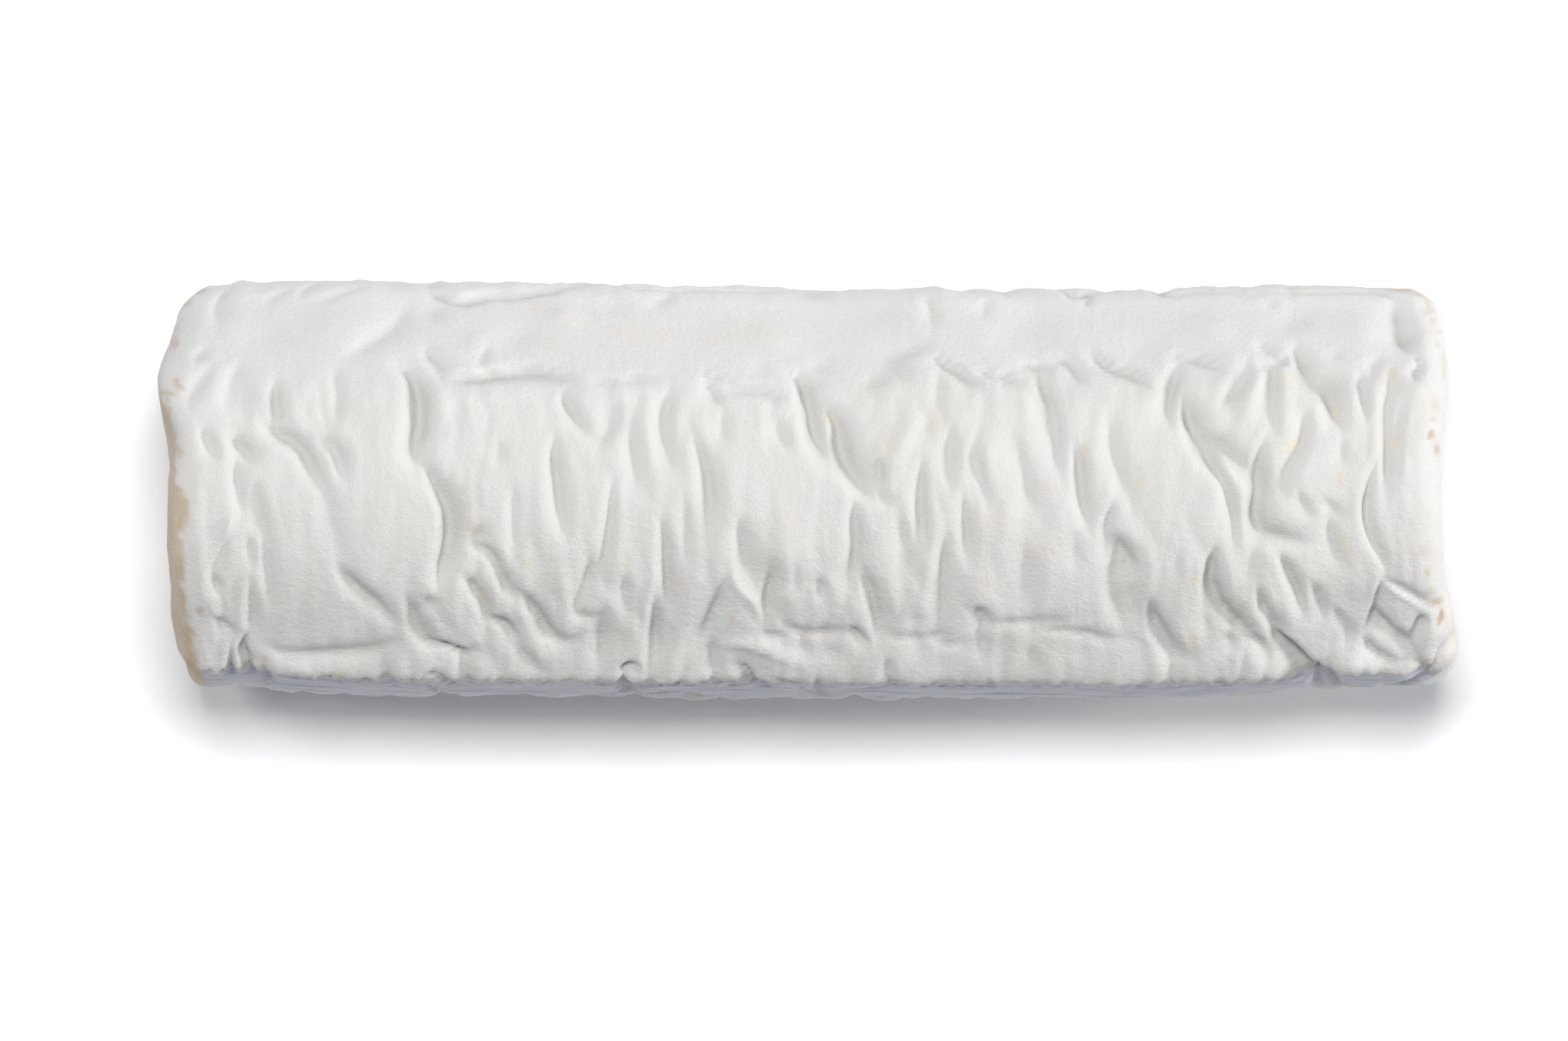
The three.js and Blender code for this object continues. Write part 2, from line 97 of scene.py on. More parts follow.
# Folds that show from above: the x and y of a path's points in plan, how deep it is, and how far its
# sides reach, first the side on the left of its direction and then the one on the right. A negative
# depth is a raised seam.
shownFolds = [
    # left end
    ([-61.1, 21.1, -62.4, 19.8, -62.5, 18.4, -62, 16.6], 0.3, 1.6, 0.6),
    ([-56, 19.4, -53.6, 20.6], 0.2, 0.6, 0.6),
    ([-52.4, 20.2, -50.8, 21.4], 0.2, 0.6, 0.6),
    ([-50.4, 19.4, -46.4, 20.8], 0.2, 0.6, 0.6),
    ([-54.8, 10.6, -54.8, 8.6, -54.6, 6.6], 0.5, 0.8, 0.7),
    ([-55.6, 6.2, -54.6, 5.6, -53.2, 5, -51.9, 3.8, -51.1, 2.4, -50.4, 1], 0.8, 1.1, 0.7),
    ([-51.3, 2.8, -50, 0.6, -49.5, -0.6, -49.1, -2.2, -48.8, -4, -48.3, -6, -48, -7.8], 0.28, 1.3, 0.9),
    ([-63.2, 5.8, -62.6, 4.6, -61.8, 3.4], 0.4, 0.9, 0.7),
    ([-59.8, 4.9, -58.6, 4.3, -57.2, 3.2], 0.6, 1, 0.7),
    ([-49.8, 4.8, -48.8, 4.3, -48.2, 3.4, -48, 1.5], 0.5, 0.9, 0.8),
    ([-59.4, 2.8, -59.1, 0, -58.6, -2.6], 0.4, 1, 0.7),
    ([-48.6, 12, -48.4, 7], 0.25, 1, 1),
    ([-59, 12.6, -59.8, 10.4, -60.4, 8.4], 0.3, 2.2, 0.8),
    ([-62.2, 11.8, -63.4, 10.2, -64.8, 8.4], 0.35, 0.9, 0.9),
    ([-57, 0, -56.4, -2.8, -55.6, -5.3], 0.35, 0.9, 1.2),
    ([-57.8, -5.2, -57.4, -8], 0.3, 0.8, 0.8),
    ([-55.9, -5, -55.8, -7.6, -55.6, -10, -55.4, -12], 0.45, 1.1, 0.6),
    ([-57.7, -10, -57.5, -12.4, -57.2, -15], 0.5, 1, 0.6),
    ([-62.1, -9, -61.8, -10.6], 0.35, 0.7, 0.7),
    ([-59.8, -3, -61.6, -6, -63.8, -9.4], -0.3, 0.5, 0.5),
    ([-60.9, -4.8, -62.3, -7.2, -63.2, -9.3], 0.35, 1.2, 0.6),
    ([-58.4, -14.5, -58.8, -15.8, -58.3, -17, -57.4, -18.4], 1.5, 0.9, 0.7),
    ([-56.8, -16.8, -56.2, -18, -55.8, -19.4], 1.2, 0.7, 0.7),
    ([-62.6, -13, -61.2, -13.8, -59.6, -14.6], 0.5, 0.6, 1.2),
    ([-60.6, -16.4, -60.8, -18.6], 1.2, 0.8, 0.7),
    ([-55.8, -15.8, -54.2, -16.6, -51.6, -16.8, -48.6, -16.7, -45.6, -16.5, -43.4, -15.9,
      -41.8, -15.4], 0.85, 1.4, 0.6),
    ([-48.2, -8, -46.8, -9.6, -45.2, -11, -44, -12, -42.2, -13.8], 0.8, 1, 0.7),
    ([-41, -11.4, -40.6, -12.8, -40.1, -14.2, -39.2, -15.4, -38.4, -16.1], 0.9, 1.2, 0.6),
    # left third
    ([-47.8, 13.4, -44.8, 15.4, -42.8, 16.8, -41.4, 18.8, -40.4, 20], 0.3, 1.5, 1.5),
    ([-40.2, 20.1, -38.4, 19.9, -36.7, 19.2, -34.9, 19.2, -32.8, 19.7, -30.7, 19.7, -28.8, 19.9,
      -27.2, 20.2, -25.6, 20.5, -22.8, 20.8, -20.6, 20.6], 0.6, 1.3, 0.8),
    ([-39.2, 14.2, -38.2, 13.2, -37, 11.9], 0.4, 0.8, 0.8),
    ([-38.2, 11.9, -37.4, 11.3, -36, 11.3, -34, 11.5, -32, 11.8, -30, 12, -28, 12, -26, 11.6, -24.4, 11.2,
      -23.4, 10.3], 0.8, 0.3, 1.4),
    ([-24.8, 9.6, -24.3, 8.5, -23.5, 7.2, -22.7, 6.2, -22, 5.4], 0.5, 0.8, 0.7),
    ([-42.2, 12, -40.9, 11.2, -40.2, 10, -39.9, 8.4, -40, 6.6, -40.4, 4.8, -40.5, 3,
      -40.2, 1.2], 1.15, 1.4, 0.7),
    ([-39.4, 2.4, -38.6, 0.9, -37.8, -0.6, -37.1, -2.2, -37, -4, -37.2, -5.8, -37.7, -7.6,
      -38, -9.4], 1.35, 2, 0.5),
    ([-32.9, 14.6, -33.4, 13.3, -33, 12.2], 0.2, 0.6, 0.8),
    ([-25.9, 4.9, -26, 3.4, -25.8, 1.6, -25.6, 0, -25.3, -2, -25, -3.8, -24.6, -5.2], 0.6, 1.1, 0.6),
    ([-30.3, 0, -30.2, -3.2, -30.1, -7.2], 0.3, 2, 0.6),
    ([-34, -5.8, -32.9, -6.2, -32.1, -7.2, -31.6, -8.4, -31.1, -9.5, -30.4, -10.7,
      -29.8, -11.4], 0.75, 0.8, 0.6),
    ([-29.7, -10.3, -28.9, -11, -28.2, -12, -27.5, -13, -26.9, -14, -26, -15, -24.8, -15.4,
      -23.2, -15], 0.85, 0.9, 0.6),
    ([-35.2, -9, -34.3, -10.2, -33.6, -11.4, -33.2, -12.6, -33, -14], 0.7, 1.2, 0.5),
    ([-32.2, -13.3, -31.2, -13.7, -30.5, -14.5, -29.9, -15.4], 0.8, 0.8, 0.5),
    ([-29.4, -16.2, -28.5, -17.4, -27.7, -18.2, -27, -19], 0.6, 0.8, 0.7),
    ([-38.7, -15.6, -37.3, -15.8, -36.4, -16.1, -35.4, -16.5, -34.2, -16.4], 0.8, 0.5, 0.5),
    ([-44, -16.8, -43.4, -18.4, -42.4, -20.2], 0.6, 0.8, 0.8),
    ([-39.2, -11, -38.6, -12.4], 0.4, 0.8, 0.6),
    ([-22.3, -7, -22.5, -8.6, -23.1, -10.2, -23.6, -11.8, -23.9, -13], 0.6, 1.2, 0.6),
    ([-23.6, -13, -22.4, -13.2, -21.2, -13.1], 0.4, 0.8, 0.5),
    ([-40.4, -19.4, -39.4, -18.9, -38.2, -18.8, -37.2, -19.4, -36.2, -20.2], 0.6, 0.5, 0.6),
    ([-39.4, -19.8, -38.4, -20.6, -37.4, -21.4], 0.6, 0.4, 0.4),
    ([-35.4, -17, -35, -19.5], 0.5, 0.9, 0.7),
    ([-31.8, 5, -31.6, 2.6], 0.2, 0.8, 0.8),
    # left of the middle
    ([-20.6, 20.7, -16, 20.4, -10.4, 20.3, -4, 20.1, -0.8, 20], 0.65, 1.2, 0.6),
    ([-13.8, 20.2, -15.8, 18.8], 0.2, 1, 1),
    ([-21.8, 11.2, -18.8, 11.4, -15, 11.8], 0.3, 0.25, 0.8),
    ([-10.6, 12, -9.6, 11.6, -8.4, 11.2, -7.3, 10.8], 0.25, 0.25, 0.5),
    ([-8.4, 10.2, -6, 10.2, -4.4, 10, -3.2, 9.5, -1.9, 9.2], 0.5, 0.35, 1),
    ([-10.3, 10.9, -9.4, 9.9, -8.7, 8.9], 0.4, 0.8, 0.8),
    ([-1.6, 12, -0.6, 11.3, 0.6, 10.9, 1.6, 10.9], 0.3, 0.3, 0.6),
    ([-0.6, 11.2, -0.1, 10, 0.3, 8.8, 0.6, 7.6, 0.8, 6.4, 1.1, 5.2, 1.7, 4, 2.4, 2.8,
      3.4, 2], 1.1, 1.4, 0.7),
    ([-19.3, 8.8, -19.8, 6.8, -20.6, 5.4, -21.4, 4.2], 0.35, 1, 1),
    ([-17.6, 6.6, -17.7, 4, -17.6, 1.6, -17.5, -0.6], 0.45, 1.3, 0.8),
    ([-13.9, 9.6, -14.6, 6.6, -14.2, 4, -13.4, 1.8], 0.45, 1.4, 1),
    ([-11.5, 5.8, -11, 4.2, -10.4, 2.6, -10, 1, -9.8, -0.6, -9.9, -2.4, -10.1, -5.2], 0.6, 1, 0.7),
    ([-8.4, 8, -8.3, 4.8], 0.2, 0.8, 0.8),
    ([-3, 6.8, -2.4, 5.6, -1.9, 4.4], 0.35, 1, 0.9),
    ([-19.9, 0.6, -20, -2, -20.3, -4, -20.6, -6, -20.9, -8, -20.6, -9.8, -20, -10.6], 0.65, 0.9, 0.6),
    ([-14.8, -3.4, -14.5, -5.4, -14.4, -7.4, -14.2, -9.4, -14, -11, -13.4, -12.8], 0.8, 1.3, 0.5),
    ([-12.4, -1, -12.3, -4.8, -12.1, -8.4], 0.35, 1.4, 0.7),
    ([-6.8, -3.6, -6.6, -5, -6.3, -6.4, -5.9, -7.8, -5, -10], 0.6, 1.6, 0.7),
    ([-7.4, -8, -7.2, -9.6, -6.4, -10.8, -5.2, -12, -4.4, -13.6, -4, -15.6], -0.3, 0.6, 0.6),
    ([-15.4, -10.2, -15.6, -11.8, -15.5, -13.4, -15.5, -15, -15.7, -17, -16, -19], 1, 1.4, 0.5),
    ([-8.5, -10, -8.9, -11.2, -9.6, -12.8, -10.4, -14.4, -11.3, -16.4], 0.7, 1.3, 0.7),
    ([-3.1, -7.4, -3.4, -9, -3.8, -10.6, -4, -12, -4.1, -13.6, -4, -15], 0.75, 1.3, 0.5),
    ([-4.2, -15, -3, -15.2, -1.8, -15], 0.4, 0.7, 0.4),
    ([-0.9, -7.4, -0.9, -9, -1, -10.8], 0.35, 0.8, 0.9),
    ([1.6, -9.4, 1.8, -10.2, 1.6, -11.2], 0.4, 0.5, 0.5),
    ([-1.9, -13.6, -1.1, -14.4, 0, -14.7, 2, -14.7, 3.8, -14.5, 5.4, -14.2], 0.5, 0.9, 0.6),
    ([5.2, -14.2, 5.8, -15, 6.4, -15.8], 0.7, 0.6, 0.6),
    ([-0.3, -15.2, 0.2, -17], 0.35, 0.8, 0.8),
    ([-20.7, -12.2, -20.9, -14.2, -21.1, -16.4, -21, -18.8], 0.6, 1.1, 0.8),
    ([-18.7, -9.4, -18.6, -11.4, -18.2, -13.2], 0.5, 1.2, 0.6),
    ([-19, -17.8, -18.2, -17.6, -17.2, -17.8], 1, 0.4, 0.5),
    ([-18.8, -17.6, -18.7, -19.2, -18.2, -20.8], 1.9, 0.9, 0.5),
    ([-9.4, -16, -9.5, -17.4, -9.3, -19], 0.5, 0.7, 0.6),
    ([-8.6, -16.2, -6.2, -16.4, -4, -16.9, -2, -17.6, -0.4, -18.3, 0.8, -19], -0.45, 0.7, 0.7),
    ([-6.9, -17.6, -5.9, -18.3, -5.1, -19.2, -3.8, -19.8, -2.6, -20], 1, 0.5, 0.9),
    ([-3, -19.2, -1.4, -19.6, -0.2, -19.9], 0.5, 0.4, 0.6),
    ([1.4, -18.6, 1.5, -20, 1.6, -21], 0.8, 0.6, 0.4),
    # middle
    ([2.2, 7.9, 3.1, 7, 3.5, 5.8, 3.6, 4.6, 4, 3.2, 4.7, 1.9, 5.5, 0.7, 6.4, -0.4,
      7.6, -1.2], 1.25, 1.7, 0.6),
    ([7.8, 2.8, 7.8, 1.4, 7.7, 0], 0.5, 0.6, 0.7),
    ([8, -0.2, 8.3, -0.9, 9, -1.4], 0.35, 0.5, 0.5),
    ([5.1, -1, 5.2, -2.6, 5.3, -4, 5.4, -5.6, 5.2, -7.2, 4.8, -9, 4.5, -11], 0.8, 1, 0.7),
    ([6.1, -8, 6.5, -9.2, 7, -10.4, 7.3, -11.6, 7.5, -12.8, 7.6, -14, 7.7, -15.2], 1, 1.3, 0.5),
    ([12.3, 2.6, 12.2, 0.6, 12.2, -1.6, 12.3, -3.6, 12.4, -5, 12.7, -6.2], 0.5, 0.7, 0.7),
    ([14, 11.6, 13.9, 9.4, 14.2, 7.4], 0.25, 0.9, 0.9),
    ([15.2, 5.8, 15, 3.2, 15, 0], 0.4, 1.3, 0.9),
    ([14.7, -4.6, 14.5, -6, 14.4, -8, 14.3, -10, 14.2, -12, 14, -14.8], 0.85, 1.5, 0.7),
    ([16.5, -0.8, 16.7, -3, 16.9, -5, 17.1, -7.4], 0.5, 0.8, 0.7),
    ([17.8, 3.2, 18.2, 1.6, 18.6, 0, 19, -2], 0.4, 0.9, 0.8),
    ([18, -12.2, 18.5, -13.1, 18.8, -14.2], 0.6, 0.9, 0.8),
    ([18.4, -14.2, 18.4, -17.2], 0.5, 1, 0.8),
    ([9, -15, 11.4, -15.3, 13.2, -15.2, 15.6, -15.1], 0.35, 0.9, 0.5),
    ([14.2, -16, 16.8, -15.7], 0.3, 0.3, 0.5),
    ([19, -13.9, 21, -13.8, 23, -13.7, 25, -13.6, 27, -13.4, 28.9, -13], 0.35, 0.8, 0.5),
    ([22.8, -6.8, 22.8, -9.6, 22.4, -12], 0.4, 1.6, 1.2),
    ([22.2, 4.8, 22.6, 2.4, 23.2, 0, 24.4, -3.2], 0.3, 1.2, 1),
    ([10, -3.6, 10.6, -6.2, 11.2, -9], 0.35, 1, 1),
    ([8.6, -17.2, 8.8, -18.4, 9, -19.6], 0.5, 0.8, 0.7),
    ([23.6, -16.4, 24, -18.6], 0.35, 1, 1),
    ([12.6, 14.5, 11.2, 14.1, 10.1, 13.6, 9.8, 12.6, 9.8, 11], 0.35, 0.9, 2.2),
    ([14, 13, 15.2, 12.4, 16.2, 11.9, 17, 11.3, 17.8, 10.8], 0.6, 0.3, 1.2),
    ([18.2, 12, 19.6, 11.7, 21, 11.4, 22.1, 10.9], 0.45, 0.3, 1.1),
    ([22.2, 12.9, 24, 12.7, 26, 12.7], 0.25, 0.8, 0.5),
    ([13.2, 19.8, 13.4, 18.4, 13.4, 16.8], 0.25, 0.8, 0.8),
    ([19, 19.4, 18.6, 17.6], 0.2, 1, 1),
    ([6.9, 11.6, 7.1, 10.4], 0.2, 0.9, 0.9),
    ([-0.8, 20, 5, 20.1, 10, 20.4, 15, 20.3, 19, 20, 24.4, 20], 0.65, 1.2, 0.6),
    # right of the middle
    ([24.5, 11.8, 25, 10.4, 25.6, 8.8, 26, 7, 26.2, 5.2, 26.3, 3.2, 26.5, 1.6, 26.8, 0.2], 0.7, 0.9, 1.1),
    ([28, 4.4, 28.5, 2.8, 28.7, 1, 28.8, -0.8, 29.1, -2.6, 29.6, -4.6], 0.6, 1.1, 0.6),
    ([31.6, 7.6, 31.8, 5, 32.2, 3, 33, 0.8, 33.7, -1.2, 34.1, -3.2], 0.4, 1.7, 0.8),
    ([31.9, -1.8, 31.6, -3.6, 31.5, -5, 31.2, -6.8], 0.5, 0.7, 0.7),
    ([32.5, -5.2, 33.1, -6.2, 33.7, -7.2, 34, -8.6], 0.8, 1, 1),
    ([32.7, -5.4, 32.3, -7, 31.9, -9, 31.9, -10.6, 32.3, -12.2, 32.9, -13.4, 33.6, -14.8], 0.6, 2.2, 0.6),
    ([34.4, -9, 34.5, -12, 34.8, -14.6], 0.4, 1.2, 1.2),
    ([36, -11.6, 36.4, -13, 37, -14.2, 37.5, -15.4, 38.2, -16.3, 39, -16.8, 40.2, -16.8], 1.05, 1.1, 0.6),
    ([23.6, -14.5, 25.4, -14.4, 27, -14.5, 28.6, -14.7, 29.8, -14.8, 30.5, -15.2, 32, -15.3,
      35.2, -15.2], 0.4, 0.7, 0.5),
    ([42.5, -6.2, 42.2, -7.6, 42.1, -9, 42.5, -10.2, 43.1, -11.4, 44.2, -12.6, 45.4, -13.7, 46.6, -14.5,
      47.6, -14.8], 1.6, 1.3, 0.6),
    ([39.6, 8.8, 39.9, 7.2, 40.4, 5.8, 41.1, 4.4, 42, 3, 42.8, 1.9], 1.15, 1.6, 0.6),
    ([41.6, 3.6, 42.9, 1.8, 43.8, 0.2, 44.3, -1.6, 44.6, -3.6, 44.6, -6], 0.6, 0.7, 0.6),
    ([42, 5, 43.4, 4.4, 44.4, 3.4, 45.6, 2.2, 46.6, 1, 47, 0], 0.7, 1.4, 0.6),
    ([46.1, 12.6, 46, 11.4, 45.2, 10.2, 44, 9.2, 42.8, 8.2], 0.45, 0.9, 0.8),
    ([38.7, 12.2, 38.4, 10.8, 38, 9.4, 37.8, 8, 38.1, 6.4], 0.65, 1, 0.8),
    ([38.6, 13.5, 40.4, 13.3, 42, 12.9, 43.4, 12.2], 0.45, 0.3, 1.1),
    ([30.2, 13.6, 31.2, 12.8, 32.4, 12.2, 33.8, 11.9, 35, 11.2, 36, 10.2], 0.6, 0.35, 1.4),
    ([26.2, 13.2, 27.4, 12.9, 28.2, 12, 28.7, 11], 0.5, 1, 0.6),
    ([24.4, 20.1, 27, 20.1, 28, 19.5, 29.6, 19.7, 30.4, 20.2, 32.4, 20.1, 36, 20.3, 38, 19.7, 40, 19.9,
      44, 19.9, 46, 19.4, 48, 20], 0.65, 1.2, 0.6),
    ([30.2, 20, 29.4, 19], 0.25, 0.4, 0.4),
    ([44, -15, 44.9, -16.4], 0.5, 0.8, 0.8),
    ([46.9, -15.2, 47.6, -16.2, 48.2, -17.2], 0.7, 0.8, 0.7),
    ([41.6, -10.8, 41.7, -13, 41.9, -15], 0.5, 1.2, 0.6),
    ([38.1, -16.8, 38.2, -19.6], 0.5, 1.1, 0.6),
    ([47, -4.4, 46.6, -6, 46.2, -8, 46, -10.4], 0.4, 1.4, 0.7),
    ([28, -4.8, 28.1, -8], 0.25, 1, 1),
    ([35, -15.3, 36.4, -15.9, 37.8, -16.8], -0.2, 0.4, 0.4),
    # right end
    ([47.8, 5, 47.3, 3.6, 47, 2, 46.9, 0, 46.7, -2, 46.9, -3.4, 47.6, -4.4, 49.2, -4.8, 51, -5,
      52.8, -5.2], 1.25, 1.7, 0.6),
    ([51.9, 7.2, 51.8, 5.6, 51.2, 4.1, 50.4, 3, 49.9, 1.8, 49.7, 0.4, 50, -1], 0.5, 1.2, 0.8),
    ([51.4, -0.6, 52, -2, 52.8, -2.8], 0.35, 0.8, 0.8),
    ([48.8, 12.6, 48.9, 10, 48.8, 7.6, 48.9, 5.4], 0.5, 0.7, 0.9),
    ([47.4, 14.7, 48.8, 13.9, 49.7, 13], 0.4, 0.8, 0.9),
    ([50, 13.8, 49.9, 12.8], 0.3, 0.5, 0.5),
    ([50.9, 14.4, 51.9, 13.4, 52.4, 12.6], 0.4, 0.8, 0.9),
    ([51.4, 13.6, 51.8, 12.2, 52.6, 11, 53.6, 10, 54.6, 8.8, 55.3, 7.6, 55.8, 6.4, 56.3, 5], 0.8, 2, 0.8),
    ([57.9, 11.4, 58.3, 10.2, 58.5, 9, 58.6, 7.8], 0.4, 0.7, 0.7),
    ([60, 13.4, 59.2, 12.6, 59, 11.2], 0.25, 1.2, 0.8),
    ([61.2, 11.8, 61, 10, 60.8, 8, 60.7, 6.4, 60.9, 4.8, 61.1, 3.2, 61, 1.6, 60.6, 0,
      60.2, -1.6], 0.6, 0.8, 0.8),
    ([59.7, 2.8, 59.1, 1.2, 58.7, -0.4, 58.4, -1.8, 58.5, -3.2, 58.9, -4.6, 59.5, -5.8, 60.3, -7,
      60.9, -8.2, 61, -9.2], 0.7, 1, 0.5),
    ([57.8, 0, 57.9, -3, 58.9, -5.8, 60.2, -8.4], -0.2, 0.6, 0.6),
    ([55.8, 4.8, 55.8, 2.4], 0.2, 0.9, 0.9),
    ([62.4, 8, 62.5, 2], 0.2, 1, 1),
    ([54.4, -3, 54.7, -5, 55.2, -6.6, 55.8, -8], 0.4, 0.9, 0.7),
    ([54, -1.2, 55.8, -2.8], 0.3, 0.7, 0.7),
    ([49.3, -6.6, 50, -7.8, 50.6, -9, 51.2, -10.4, 51.6, -11.8, 52.1, -13], 0.85, 0.9, 0.5),
    ([52.8, -9.8, 53.4, -11, 53.8, -12.2, 54, -13.4], 0.6, 0.9, 0.6),
    ([55.2, -12.6, 56.2, -13.8, 56.6, -15, 56, -16.2], 0.5, 0.8, 0.8),
    ([47.4, -10.7, 47.8, -12, 48.4, -13, 49, -14, 49.7, -15], 1, 1, 0.5),
    ([49.2, -13.8, 50.4, -14.6, 51.6, -15.8, 52.8, -16.7, 54, -17, 55.2, -17.2], 2.6, 0.5, 1.6),
    ([53.5, -17, 53.6, -18.4, 53.6, -20.2], 1.2, 0.5, 0.4),
    ([54.9, -16.8, 54.9, -18, 55.4, -19, 56.6, -19.8], 1.2, 0.5, 0.6),
    ([48, 20.1, 51.2, 20.2, 54, 20.2, 58, 20.3, 60.8, 20.1, 62, 19.7, 63.6, 18.9], 0.3, 0.6, 0.3),
    ([62.5, 18.9, 62.3, 17.4, 62.4, 16, 62.9, 14.8, 63.6, 13.9, 64.4, 13.2], 0.6, 1.8, 1.6),
    ([64.4, 13.2, 64.7, 12.6, 64.1, 11.9, 64.3, 11], 0.5, 0.5, 0.5),
    # folded corner at the right end
    ([60.2, -9.4, 59.9, -10.4, 59.6, -11.6, 59.2, -12.8, 58.4, -14.2, 58, -14.8], 0.8, 1.3, 0.3),
    ([60.2, -9.5, 61.6, -10.6, 63, -11.4, 64.4, -12.2, 66.2, -13.1], -0.3, 0.3, 0.25),
    ([60.9, -9.4, 62.6, -10.2, 64.2, -11.2, 65.4, -12, 66.6, -12.6], 0.6, 0.9, 0.3),
    ([59.7, -12.6, 60.6, -13.6, 61.8, -14.5, 63.1, -15.5], 1.5, 0.9, 0.9),
    ([64.6, -12.8, 63.9, -14.1, 63.3, -15.3], 1, 0.6, 0.7),
    ([58.6, -15.4, 59.4, -16.4, 60.8, -17, 62.6, -17.2], 0.9, 0.8, 0.7),
    ([63, -15.2, 63.6, -16.6, 64.2, -17.7, 65, -18.6, 66, -19], 1.5, 0.8, 0.8),
    ([64.8, -18.2, 65.7, -17.3, 66.4, -16.2], 0.7, 0.4, 0.4),
    ([56, -17.8, 62.8, -18.4], -0.5, 1.2, 1.2),
    ([56.8, -19.8, 60, -19.8, 63.2, -19.4, 65.6, -19], 0.8, 0.5, 0.7),
    ([57.5, -20.4, 60.5, -20.2, 63.5, -20.3], 0.5, 0.4, 0.4),
    ([63.6, -20.1, 65.4, -20.2], 0.7, 0.4, 0.5),
    # lower edge
    ([-17.7, -20.9, -13.6, -20.6, -10.6, -21.2], 0.4, 0.4, 0.6),
    ([1.2, -20.3, 7.1, -20.4, 9.5, -19.6], 0.4, 0.4, 0.6),
    ([-1.1, -19.9, 0.6, -21, 3.6, -21.3, 9, -21.3, 13.7, -21.4], 0.35, 0.5, 0.5),
    ([-36, -20.9, -30, -21.1, -24, -21.2], 0.25, 0.5, 0.8),
    ([16, -21.1, 24, -21, 31, -21.2, 38, -21.1], 0.25, 0.4, 0.8),
]

# rounded hollows and, where the height is positive, swollen pads: plan x and y, radius, height
mounds = [
    (-58, 9.6, 2, -0.35), (-63.6, 14, 0.9, -0.4), (-38.8, 21.4, 0.8, -0.5), (-38.6, 18.6, 1.3, -0.3),
    (-38, 20.5, 1.1, -0.4), (-31.4, 20.7, 1.3, -0.45), (-26.4, 20.8, 1.2, -0.45), (-34, -4.8, 1, -0.5),
    (-37.8, 8.6, 1.6, 0.25), (-39, -10.2, 1.2, 0.25), (-17.8, 21.2, 1.1, -0.4), (0.6, 20.5, 1.3, -0.35),
    (-19.6, 19.4, 1.5, -0.2), (-4.8, 12.6, 1.3, -0.2), (1.6, 12.8, 1.4, -0.3), (21, 20.4, 0.7, -0.3),
    (18.5, -13.2, 1.2, -0.3), (11.6, -13.8, 1.2, -0.25), (2.9, -17, 1.1, -0.3), (11.8, -16.4, 1, -0.3),
    (24, 13, 1.2, -0.15), (35, 14.8, 2, -0.25), (28.2, -16.6, 1.4, -0.2), (54.8, 11.2, 2.2, -0.5),
    (55.2, 14, 0.8, -0.25), (47.6, 12.8, 0.8, -0.3), (63.4, 16.4, 1.6, -0.5), (48.6, 19.4, 0.8, -0.25),
    (50.4, 17.6, 2, -0.2), (56.8, -12, 2, -0.4), (61.2, -15.4, 1.6, 0.5), (56.8, -17.6, 1.8, 0.6),
    (65.2, -15.2, 1.8, 0.4), (67, -18, 0.9, 0.5), (44.6, 13.6, 1.4, 0.2), (-44, 4, 4, 0.25),
    (-30, 16, 2.4, -0.35), (-25, 18, 1.6, 0.3), (-33.6, 15.5, 1.5, 0.25), (51.6, 18, 2.2, -0.35),
    (-10, 17, 3, -0.2), (10, 17.4, 3, 0.2), (22, 16.6, 2.6, -0.25), (42, 16.6, 2.4, 0.25),
    (-48, 17, 3, 0.3), (-56, 16, 2.6, -0.3), (-3.6, 16, 2, 0.2), (58, 16.4, 2.2, 0.25),
]

# calm parts of the rind, with fewer wrinkles: plan x and y, half sizes along and across
calmPads = [
    (-44, -3, 6.5, 9), (-30, 2, 4, 6.5), (-60, -2, 4, 8), (-8, 7, 3, 3), (15, 2, 2.5, 4), (28, -8, 3, 5),
    (56, 0, 4, 7), (-52, -9, 3, 4), (-62, 13, 4, 4), (20, 8, 3, 3), (33, 4, 3, 4), (5, -5, 2, 5),
]

